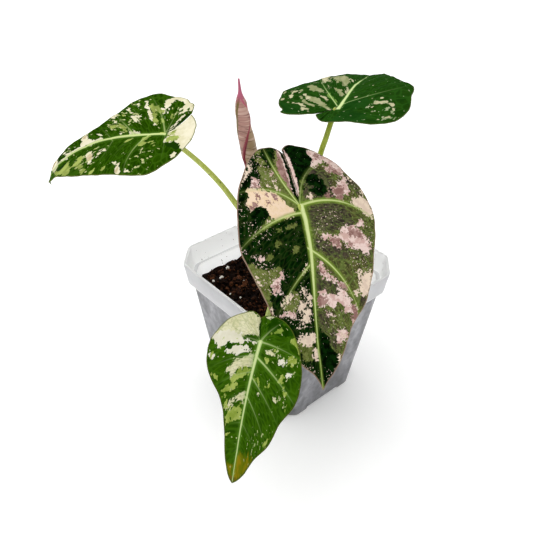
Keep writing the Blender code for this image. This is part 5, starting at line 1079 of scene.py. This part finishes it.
    # The right leaf's dark outlines, round the foot of its blade and over its lobes, are painted shade.
    "right": """
    dark: -5,9 -10,12 -15,14 -18,10 -19,4 -16,0 -8,-1 -4,1 / -6,-4 -12,-2 -24,-10 -24,-22 -4,-22 / 10,-6
    24,-6 32,0 30,-8 22,-22 12,-20
    grey: 27.5,29 25,28.5 21,25.5 17,22.5 14,19.5 10.8,17.2 13,14.7 16,15.7 19,18.2 22,20.7 25.3,24.2
    27,26.5 / 9,27.4 7,26.4 4,24.4 1.8,22.2 0.6,18 3,18 5.2,20.8 7.2,23.2 9.2,25.3 / 2,-2.4 4.7,-1.9
    8.7,-0.3 12.7,1.1 15.4,2.7 17.7,4.3 19.3,6.3 19.2,7.9 15.3,8 10.7,5.9 6.7,2.6 2.8,-0.3 / 16.8,53
    16.6,44.6 13.5,42 12.4,38 11,34.2 10.3,38 9.3,40.6 7.8,37 5.9,33.3 4.6,32.4 4.5,36 4.1,40 4.8,43.7
    6.8,46.8 8.8,52 12,56.5 / 16,34.7 14.8,39 16.5,42.5 17.5,40 17,36 / 14.8,28.8 13,27.9 11.3,24.6
    10.7,22 12.7,23.9 / 22.8,20.8 20,18.8 17.6,15.2 19.6,16.2 21.8,18.6 / 24.3,8 21,5.3 18.4,1.3 15,-1.2
    12,-2.2 8.6,-5.2 12,-4.1 16,-2.6 19.7,-0.3 22.8,4.4 / 38.5,21 37.6,17 36.5,13 34.9,10.2 36.1,13.8
    37.2,18.5 / 28.3,-1.2 26,-3.8 25.6,-3 27,-1.2 / 26,18 24.8,13 27,16
    cream: 14.7,3.2 17.7,3.4 20.1,6.2 22.1,8.7 24.5,10.7 28.5,13 31.2,14.7 34,17.5 37.7,20.8 37.8,22.8
    32.8,19 30,16.2 27.2,14.6 23.4,12.2 20.5,10.1 18.5,7.6 16.7,5.2 / 24.3,44.5 21.7,41.5 20,37.5
    18.5,33.5 17,31 17.2,35 17.8,40 18.5,45 20.2,52.5 22.2,48 / 4.2,31.8 3,33.5 1.6,30.2 0.3,27 0.1,22
    1.6,23.8 3,28 / 6.3,50 5.2,46.8 2.8,43 3.3,47 4.5,52.5 / 12.3,10.2 10,9.3 7.8,7.5 6.1,5.3 7,7.8 9,9.6
    11.8,11.3 / 35.3,17.7 33,15.8 30.9,13.3 29.6,11.2 31.9,12.7 34.2,15.6 / 30.8,8.8 29,8.4 26.7,4.9
    28.6,4.5 30.3,6.4 / 34.6,6.8 33.2,5.8 32,2.2 33.7,2.8 / 23.9,-1.8 20.5,-2 18,-3 15.3,-4.8 13.7,-7.6
    16,-6.8 18.5,-5.3 21.5,-4.6 23.6,-3.7 / 16.3,-8.5 14.8,-7.7 13.3,-10 13.6,-12.7 15.8,-11.1 / 13.6,-7.8
    10.9,-9.3 9.7,-12.9 11.4,-12.5 12.6,-10 / 3.8,-2.4 1.5,-2.6 1.8,-1.2 3.8,-0.7 / -17.7,11.8 -18.8,13.9
    -17.2,13.8 / -22.7,12.8 -24.2,15.3 -22.8,14.7 / -20.7,6.8 -23,9.6 -25.5,11.1 -27.3,10.6 -26,8.8
    -24,7.8 -22.5,6.2 / -28.2,9.5 -31,10.3 -32.4,9 -30.5,7.7 / -18.8,3.2 -20.6,3.8 -21.3,1.9 -19.4,1.2 /
    -32.3,6.3 -34.1,5 -33.7,2.2 -32,3.4 / -21.7,-0.8 -24,-1.7 -25.4,-3.6 -22.9,-3.3 / -25.8,-7.2
    -27.7,-8.8 -28.3,-10.9 -26.3,-10.2 / -28.8,-8.8 -30.2,-10.9 -30.8,-13.9 -29,-12.6 / -30.3,-4.8
    -31.8,-7 -30.6,-7.9 / -32.8,-2.2 -33.6,-5 -32.1,-5.9 / -28.3,-14.2 -29.8,-15.2 -29,-13 / -35.8,0.3
    -37.8,-1.5 -36.7,-2.6 / -6.8,14.5 -8,16 -8.3,14 / -12,30 -12.5,33 -11.3,31.3
    lime: 9.8,17.8 7,14.8 4,11.8 1.8,9.8 0.8,8.3 5,9.2 8.2,12.2 9.8,14.8
    flecks: -16,6 -20,13 -30,12 -37,4 -38,-6 -32,-16 -26,-12 -21,-3 -17,3 / 12,26 30,30 22,44 10,34""",
}
# Each leaf's looks, as blade_material explains them. Its layers go from the lowest up.
BLADE_COLOURS = {
    "front": dict(ground=("#0a2705", "#020e02"), ground_net=0.13, layers=[
        ("olive", ("#4a5222", "#6d733f"), 0.3, 0.6, 0.12, 0.6, 0.15),
        ("khaki", ("#3c3d22", "#56572f"), 0.4, 0.8, 0.12, 1.0, 0.15),
        ("brown", ("#2c2722", "#4b4336"), 0.6, 0.8, 0.12, 0.55, 2.4),
        ("pink", ("#c6a49c", "#e0c8c0"), 0.35, 1.0, 0.06, 0.0, 0.15),
        ("peach", ("#e3c9a6", "#e8cfb4"), 0.4, 0.6, 0.06, 0.0, 0.15),
        ("cream", ("#e0cdb7", "#d3beab"), 0.35, 1.0, 0.06, 0.0, 0.15),
        ("mauve", ("#86645d", "#a08078"), 0.6, 0.9, 0.08, 0.0, 0.25),
        ("rim", ("#cdaea6", "#e0c8bf"), 0.15, 0.25, 0.06, 0.0, 0.12),
        # The dark layer is dark tissue, and along the slit it is painted shadow.
        ("dark", ("#030a02", "#0a2406"), 0.25, 0.5, 0.1, 0.0, 0.15)],
        flecks=(("#bea390", "#e0cfc0"), 0.668), veins=("#c3cf8a", "#7b9638", "#66783a", 0.85, 0.6),
        margin="#9c8272", stretch=1.0),
    "low": dict(ground=("#2f5203", "#203f04"), ground_net=0.5, layers=[
        ("cream", ("#cfccaa", "#c5c29a"), 0.3, 0.7, 0.1, 0.35, 0.15),
        ("white", ("#d4d1c0", "#cdc9b4"), 0.3, 0.9, 0.1, 0.0, 0.2),
        ("pale", ("#7a8d36", "#98a653"), 0.3, 1.0, 0.1, 0.0, 0.2),
        ("yellow", ("#5f660a", "#80700f"), 0.8, 0.6, 0.1, 0.0, 2.2),
        ("brown", ("#6b4a1c", "#4a3210"), 0.3, 0.4, 0.1, 0.0, 0.4),
        ("dark", ("#143400", "#1c4005"), 0.4, 0.6, 0.1, 0.0, 0.3),
        ("lime", ("#7f9340", "#6b8330"), 0.4, 0.6, 0.1, 0.0, 0.5)],
        flecks=(("#8c9d50", "#c5c89b"), 0.65), veins=("#b2c384", "#5f8a2c", "#477017", 0.6, 0.0),
        margin="#48531b", stretch=1.5),
    "left": dict(ground=("#254700", "#183500"), ground_net=0.5, layers=[
        ("cream", ("#e2dcc2", "#d2ccaa"), 0.3, 0.8, 0.12, 0.0, 0.15),
        ("pale", ("#9caa58", "#7f8d44"), 0.3, 0.9, 0.1, 0.0, 0.2),
        ("tan", ("#c3b494", "#b09f78"), 0.5, 0.6, 0.1, 0.0, 0.4),
        ("dark", ("#193700", "#173305"), 0.6, 0.6, 0.1, 0.0, 0.3)],
        flecks=(("#97a158", "#cccb9c"), 0.65), veins=("#c0cf86", "#5a8426", "#477017", 0.6, 0.0),
        margin="#626733", stretch=2.6),
    "right": dict(ground=("#143607", "#1d3f09"), ground_net=0.6, layers=[
        # The dark layer is painted shade.
        ("dark", ("#12380a", "#1a4210"), 1.4, 1.0, 0.1, 0.0, 0.8),
        ("grey", ("#858b60", "#999b74"), 0.3, 0.9, 0.1, 0.0, 0.25),
        ("cream", ("#bdb895", "#aba782"), 0.4, 0.7, 0.1, 0.0, 0.2),
        ("lime", ("#76944a", "#6b8a40"), 0.5, 0.6, 0.1, 0.0, 0.3)],
        flecks=(("#75855c", "#a6ae89"), 0.65), veins=("#b9cb8a", "#42702a", "#2a5a18", 0.6, 0.0),
        margin="#4f572c", stretch=2.6),
}
for name, leaf in LEAVES.items():
    patches = {}
    for word in PATCHES[name].split():
        if word.endswith(":"):
            outlines = patches[word[:-1]] = [[]]
        elif word == "/":
            outlines.append([])
        else:
            outlines[-1].append([float(number) for number in word.split(",")])
    blade = make_blade(f"blade_{name}", leaf, patches)
    tissue = blade_material(f"living_leaf_{name}", leaf["length"], **BLADE_COLOURS[name])
    finish_piece(blade, tissue, f"leaf_{name}")

# Stalks: smooth, round, fleshy stalks, one for each leaf. Each grows from the crown, thickens in a
# grooved sheath at its foot and runs on into its leaf's midrib.

STALK_SIDES = 24
STALK_STEPS = 12
STALK_TAPER = 0.8
SHEATH_SWELL = 0.55
SHEATH_LENGTH = 26.0
SHEATH_GROOVE = 0.16
NECK_SWELL = 0.16
BLADE_SEAT = 0.5
# Each stalk's line, and its radii at its foot and its top. Its line ends under the foot of its blade.
STALKS = {
    "front": ([(4.5, -3, 73), (5.2, -5, 95), (5.6, -11, 118), (5.3, -20, 134)], 2.3, 1.5),
    "low": ([(-0.5, -6, 72), (-1.5, -11, 83), (-5, -28, 91), (-8.5, -46, 95.5), (-10.6, -60, 98.8),
             (-12.8, -80, 104.5)], 2.0, 1.2),
    "left": ([(-5.5, -1.5, 73), (-8.5, -1, 90), (-16.5, 0.5, 108), (-28.6, 2.5, 125), (-38.2, 2.5, 139.7),
              (-51, 2.2, 154.8)], 2.2, 1.3),
    "right": ([(3.5, 3.5, 73), (6.5, 6.5, 95), (11.5, 11, 124), (17.5, 15, 152), (20.4, 17.5, 161.5)],
              2.2, 1.5),
    "new": ([(-2.5, 3.8, 74), (-6, 5.5, 92), (-13.5, 7.6, 116), (-18.6, 8.9, 134)], 2.0, 1.7),
}
# The two greens of a stalk. The left one is lighter by painted light, for the light it stands in, and the
# right one is more golden.
STALK_TONES = {"left": ("#a3b03a", "#c6cd74"), "right": ("#7f8c12", "#9dab36")}
PLAIN_STALK = ("#90a02a", "#b7c261")
# The line of the new leaf's roll, which the new stalk runs on into.
FURLED_LINE = [(-19.4, 9, 138), (-19.9, 9.1, 142), (-20.8, 9.4, 149), (-22, 9.7, 156), (-23.3, 10, 163),
               (-24.5, 10, 169), (-25.3, 10, 175), (-26.3, 10, 180), (-26.6, 10, 184.5), (-26.9, 10, 187.5),
               (-27, 10, 191), (-27.5, 10, 197.5)]
FURLED_SEAT = (-19.6, 9.05, 139.5)


def smooth_path(points, steps):
    """A smooth curve through points, with a few steps between each two."""
    points = np.asarray(points, float)
    ends = np.concatenate([[2 * points[0] - points[1]], points, [2 * points[-1] - points[-2]]])
    path = []
    for a, b, c, d in zip(ends, ends[1:], ends[2:], ends[3:]):
        for t in np.arange(steps) / steps:
            path.append(0.5 * (2 * b + (c - a) * t + (2 * a - 5 * b + 4 * c - d) * t ** 2
                               + (3 * b - a - 3 * c + d) * t ** 3))
    return np.array([*path, points[-1]])


def rings_round(path, turns, reach):
    """Points round a path, at turns about it and at a reach from it for each."""
    ahead = np.gradient(path, axis=0)
    ahead /= np.linalg.norm(ahead, axis=1, keepdims=True)
    side, sides = np.array([1.0, 0, 0]), []
    for direction in ahead:
        side = side - direction * side.dot(direction)
        side /= np.linalg.norm(side)
        sides.append(side)
    across, up = np.array(sides)[:, None], np.cross(ahead, sides)[:, None]
    ring = np.cos(turns)[..., None] * across + np.sin(turns)[..., None] * up
    return path[:, None] + reach[..., None] * ring


for name, (points, foot_radius, top_radius) in STALKS.items():
    # The new stalk runs on into the rolled leaf, and the others meet their blades from below.
    if name == "new":
        end = [FURLED_LINE[0], FURLED_SEAT]
    else:
        leaf = LEAVES[name]
        forward = midrib_axes(leaf, np.zeros(1))[0][0]
        up = blade_normals(bend_leaf(leaf), np.zeros(1), np.zeros(1))[0]
        base = np.array(leaf["base"])
        end = [base - up * (MIDRIB_UNDER + BLADE_SEAT), base + forward * 4 - up * (BLADE_SEAT + 0.55)]
    path = smooth_path([*points, *end], STALK_STEPS)
    along = np.concatenate([[0], np.cumsum(np.linalg.norm(np.diff(path, axis=0), axis=1))])
    left = along[-1] - along
    sheath = np.exp(-(along / SHEATH_LENGTH) ** 2)
    radius = foot_radius + (top_radius - foot_radius) * (along / along[-1]) ** STALK_TAPER
    radius = radius * (1 + SHEATH_SWELL * sheath) * (1 + NECK_SWELL * np.exp(-((left - 5) / 4) ** 2))
    if name != "new":
        radius *= np.sqrt(np.clip(left / 3.5, 0.02, 1))
    turns = 2 * np.pi * np.arange(STALK_SIDES) / STALK_SIDES
    groove = 1 - SHEATH_GROOVE * sheath[:, None] * np.exp(-((turns - 1.6) / 0.5) ** 2)
    reach = radius[:, None] * groove * (1 + 0.012 * np.sin(7 * turns + 0.15 * along[:, None]))
    rings = rings_round(path, turns, reach)
    stalk = make_piece(f"petiole_{name}", rings.reshape(-1, 3), loft_faces(*reach.shape), PLANT_TURN)
    keep_numbers(stalk, "along", np.repeat(along, STALK_SIDES))

    # Fleshy stalk tissue: glossy yellow-green, faintly streaked, with a few dark freckles, and
    # blanched at its foot.
    flesh, tree, shader = start_material(f"stalk_tissue_{name}", {"Roughness": 0.34, "IOR": 1.45})
    place = add_node(tree, "TexCoord", output="Object")
    drawn = add_node(tree, "Mapping", {"Vector": place, "Scale": (1, 1, 0.15)})
    streaks = add_node(tree, "TexNoise", {"Vector": drawn, "Scale": 1 / (0.7 * MM), "Detail": 3.0})
    streaks = add_node(tree, "MapRange", {"Value": streaks, "From Min": 0.3, "From Max": 0.7})
    dark_green, light_green = STALK_TONES.get(name, PLAIN_STALK)
    tint = add_node(tree, "Mix", {0: streaks, 6: colour(dark_green), 7: colour(light_green)}, **COLOURS)
    dots = add_node(tree, "TexNoise", {"Vector": place, "Scale": 1 / (2.2 * MM), "Detail": 2.0})
    dots = add_node(tree, "MapRange", {"Value": dots, "From Min": 0.66, "From Max": 0.72})
    foot = add_node(tree, "Attribute", output="Fac", attribute_name="along")
    foot = add_node(tree, "MapRange", {"Value": foot, "From Min": 22, "From Max": 4, "To Max": 0.6})
    for share, tone in ((dots, "#5b5a20"), (foot, "#d8c9a0")):
        tint = add_node(tree, "Mix", {0: share, 6: tint, 7: colour(tone)}, **COLOURS)
    set_inputs(shader, {"Base Color": tint})
    finish_piece(stalk, flesh, f"stalk_{name}")

# Crown: the short, ringed stem in the mix that the stalks grow from, corky and brown below and green
# at its top.

CROWN_PROFILE = [(57.6, 6), (60, 8), (66, 9.2), (73, 9.2), (79, 8.8), (83, 7.4), (84.5, 4.5), (84.9, 1.5)]
CROWN_SIDES = 64
CROWN_STEPS = 8
RING_SPACING = 2.3
CROWN_FIBRE = 0.9
line = smooth_path([(radius, 0, height) for height, radius in CROWN_PROFILE], CROWN_STEPS)
turns = 2 * np.pi * np.arange(CROWN_SIDES) / CROWN_SIDES
scars = np.sin(line[:, 2:] / RING_SPACING * 2 * np.pi) ** 4
wobble = np.array([[noise.noise(Vector((math.cos(a) * 1.5, math.sin(a) * 1.5, z / 5))) for a in turns]
                   for z in line[:, 2]])
reach = line[:, :1] * (0.97 + 0.05 * scars + 0.08 * wobble)
heights = np.broadcast_to(line[:, 2:], reach.shape)
points = np.stack([reach * np.cos(turns), reach * np.sin(turns), heights], -1)
crown = make_piece("ringed_crown", points.reshape(-1, 3), loft_faces(*reach.shape), PLANT_TURN)

# Crown tissue: tan and brown, fibrous, greener at its top.
corky, tree, shader = start_material("crown_tissue", {"Roughness": 0.6})
place = add_node(tree, "TexCoord", output="Object")
upright = add_node(tree, "Mapping", {"Vector": place, "Scale": (1, 1, 0.3)})
fibres = add_node(tree, "TexNoise", {"Vector": upright, "Scale": 1 / (CROWN_FIBRE * MM), "Detail": 4.0})
browns = add_node(tree, "Mix", {0: fibres, 6: colour("#5f4a2a"), 7: colour("#b49a6a")}, **COLOURS)
height = add_node(tree, "SeparateXYZ", {"Vector": place}, "Z")
top = add_node(tree, "MapRange", {"Value": height, "From Min": 76 * MM, "From Max": 84 * MM})
tissue = add_node(tree, "Mix", {0: top, 6: browns, 7: colour("#8f9a45")}, **COLOURS)
relief = add_node(tree, "Bump", {"Height": fibres, "Strength": 0.5, "Distance": 0.3 * MM})
set_inputs(shader, {"Base Color": tissue, "Normal": relief})
finish_piece(crown, corky, "crown")

# New leaf: a blade still rolled up into a slender spindle with a thread-like tip. Its outer margin
# laps round the roll in a ridge that winds from the front at the top to the left at the foot.

FURLED_RADII = (1.9, 3.2, 4.3, 4.9, 4.9, 4.6, 4.2, 3.7, 3.2, 2.1, 1.0, 0.5)
FURLED_STEPS = 14
FURLED_SIDES = 69
FURLED_OVERLAP = 0.2
# The winding of the lapped margin, in degrees from the viewer's right round to the viewer, at heights.
MARGIN_WINDS = ((138, 165), (146, 155), (153, 145), (158, 123), (166, 75), (174, 20), (179, -10), (198, -80))
# Two painted lines by the same angles: the olive back of the midrib and the pink upper margin.
OLIVE_WINDS = ((138, 190), (150, 180), (160, 170), (171, 152), (181, 133), (185, 119), (190, 100), (198, 90))
PINK_WINDS = ((138, -90), (178, -20), (181, 5), (183, 28), (185, 54), (188, 72), (198, 85))
path = smooth_path(FURLED_LINE, FURLED_STEPS)
stops = np.linspace(0, len(FURLED_LINE) - 1, len(path))
radius = smooth_between(np.arange(len(FURLED_RADII), dtype=float), np.array(FURLED_RADII), stops)[:, None]
round_roll = np.linspace(0, 1, FURLED_SIDES)
# Three last points of each ring step down from the lapped margin to the layer under it.
share = np.array([*round_roll, 1, 1, 1])
turn = np.array([*round_roll * 0.978, 0.988, 0.996, 0.998])
lap = np.array([*(1 - FURLED_OVERLAP * (1 - round_roll) ** 1.3), 1, 0.98, 0.9])
winds = {key: np.radians(np.interp(path[:, 2], *np.array(course, float).T))[:, None] for key, course in (
    ("margin", MARGIN_WINDS), ("olive_line", OLIVE_WINDS), ("pink_line", PINK_WINDS))}
turns = 2 * np.pi * turn - winds["margin"]
reach = radius * (lap + 0.012 * np.sin(stops[:, None] * 5 + share * 20))
points = rings_round(path, turns, reach)
furled = make_piece("furled_blade", points.reshape(-1, 3), loft_faces(*turns.shape), PLANT_TURN,
                    sharp_over=70)
keep_numbers(furled, "lap", np.minimum(share, 1 - share) * 2 * np.pi * radius)
keep_numbers(furled, "rise", np.repeat(stops, len(share)))
keep_numbers(furled, "roll", np.tile(share, len(path)))
for key in ("olive_line", "pink_line"):
    apart = (turns + winds[key] + np.pi) % (2 * np.pi) - np.pi
    keep_numbers(furled, key, np.abs(apart) * radius)

# Unripe leaf tissue: dusty pink and olive with fine dark veins across and painted highlights between them, a
# dark pink margin and a magenta thread at the tip.
VEIN_BAND = 1.5
unripe, tree, shader = start_material("unripe_leaf", {"Roughness": 0.45, "IOR": 1.45})
place = add_node(tree, "TexCoord", output="Object")
lean = add_node(tree, "Mapping", {"Vector": place, "Rotation": (0, 0.25, 0), "Scale": (0.08, 0.08, 1)})
bands = add_node(tree, "TexNoise", {"Vector": lean, "Scale": 1 / (VEIN_BAND * MM), "Detail": 1.5})
clouds = add_node(tree, "TexNoise", {"Vector": place, "Scale": 1 / (5 * MM), "Detail": 3.0})
rosy = add_node(tree, "Mix", {0: clouds, 6: colour("#96685c"), 7: colour("#b38a7e")}, **COLOURS)
tan = add_node(tree, "Mix", {0: clouds, 6: colour("#86704c"), 7: colour("#a98c6e")}, **COLOURS)
middle = add_node(tree, "Math", {0: bands, 1: 0.5}, operation="SUBTRACT")
middle = add_node(tree, "Math", {0: middle}, operation="ABSOLUTE")
at = {key: add_node(tree, "Attribute", output="Fac", attribute_name=key)
      for key in ("roll", "olive_line", "pink_line", "lap", "rise")}
tint = tan
for value, low, high, most, tone in (
        # The pale stripes between the veins across are painted highlights.
        (at["roll"], 0.3, 0.6, 1.0, rosy), (bands, 0.53, 0.6, 0.5, colour("#cdb0a0")),
        (middle, 0.035, 0.0, 0.8, colour("#5e3a32")), (at["olive_line"], 1.15, 0.575, 1.0, colour("#655218")),
        (at["pink_line"], 0.6, 0.3, 1.0, colour("#a8455e")), (at["lap"], 0.9, 0.4, 1.0, colour("#86323c")),
        (at["rise"], 8, 9.5, 1.0, colour("#a9526c"))):
    share = add_node(tree, "MapRange", {"Value": value, "From Min": low, "From Max": high, "To Max": most})
    tint = add_node(tree, "Mix", {0: share, 6: tint, 7: tone}, **COLOURS)
set_inputs(shader, {"Base Color": tint})
finish_piece(furled, unripe, "leaf_new")

# Set: a plain pale floor under soft studio light from the upper left, and the camera of the photograph.

FLOOR_SIZE = 6.0
LIGHT_PLACE = (-450, 350, 1300)
LIGHT_AIM = (0, 0, 80)
LIGHT_SIZE = 1.6
LIGHT_POWER = 9.5
SKY_LIGHT = 0.95
CAMERA_PLACE = (-12.0, -321.0, 320.0)
CAMERA_DOWN = 36.235
CAMERA_ROLL = 0.65
LENS = 44.42
bpy.ops.object.select_all(action="DESELECT")
bpy.ops.mesh.primitive_plane_add(size=FLOOR_SIZE)
floor = bpy.context.object
floor.name = "studio_floor"
# The floor's own faint light stands for the bright studio round it.
paper, _, _ = start_material("white_paper", {"Base Color": colour("#fdfdfd"), "Roughness": 0.9,
                                             "Emission Color": (1, 1, 1, 1), "Emission Strength": 0.1})
floor.data.materials.append(paper)

light = bpy.data.lights.new("softbox", "AREA")
light.size, light.energy = LIGHT_SIZE, LIGHT_POWER
softbox = bpy.data.objects.new("softbox", light)
bpy.context.scene.collection.objects.link(softbox)
light_place, light_aim = (Vector(to_frame(point, PLANT_TURN)) for point in (LIGHT_PLACE, LIGHT_AIM))
shining = (light_place - light_aim).to_track_quat("Z", "Y").to_matrix().to_4x4()
softbox.matrix_world = Matrix.Translation(light_place) @ shining
world = bpy.data.worlds.new("studio")
bpy.context.scene.world = world
world.use_nodes = True
set_inputs(world.node_tree.nodes["Background"], {"Color": (1, 1, 1, 1), "Strength": SKY_LIGHT})

camera = bpy.data.objects.new("camera", bpy.data.cameras.new("camera"))
bpy.context.scene.collection.objects.link(camera)
camera.data.lens = LENS
view = (Matrix.Rotation(PLANT_TURN, 4, "Z") @ Matrix.Rotation(math.radians(90 - CAMERA_DOWN), 4, "X")
        @ Matrix.Rotation(math.radians(CAMERA_ROLL), 4, "Z"))
camera.matrix_world = Matrix.Translation(Vector(to_frame(CAMERA_PLACE, PLANT_TURN))) @ view
bpy.context.scene.camera = camera
bpy.context.scene.view_settings.view_transform = "Standard"
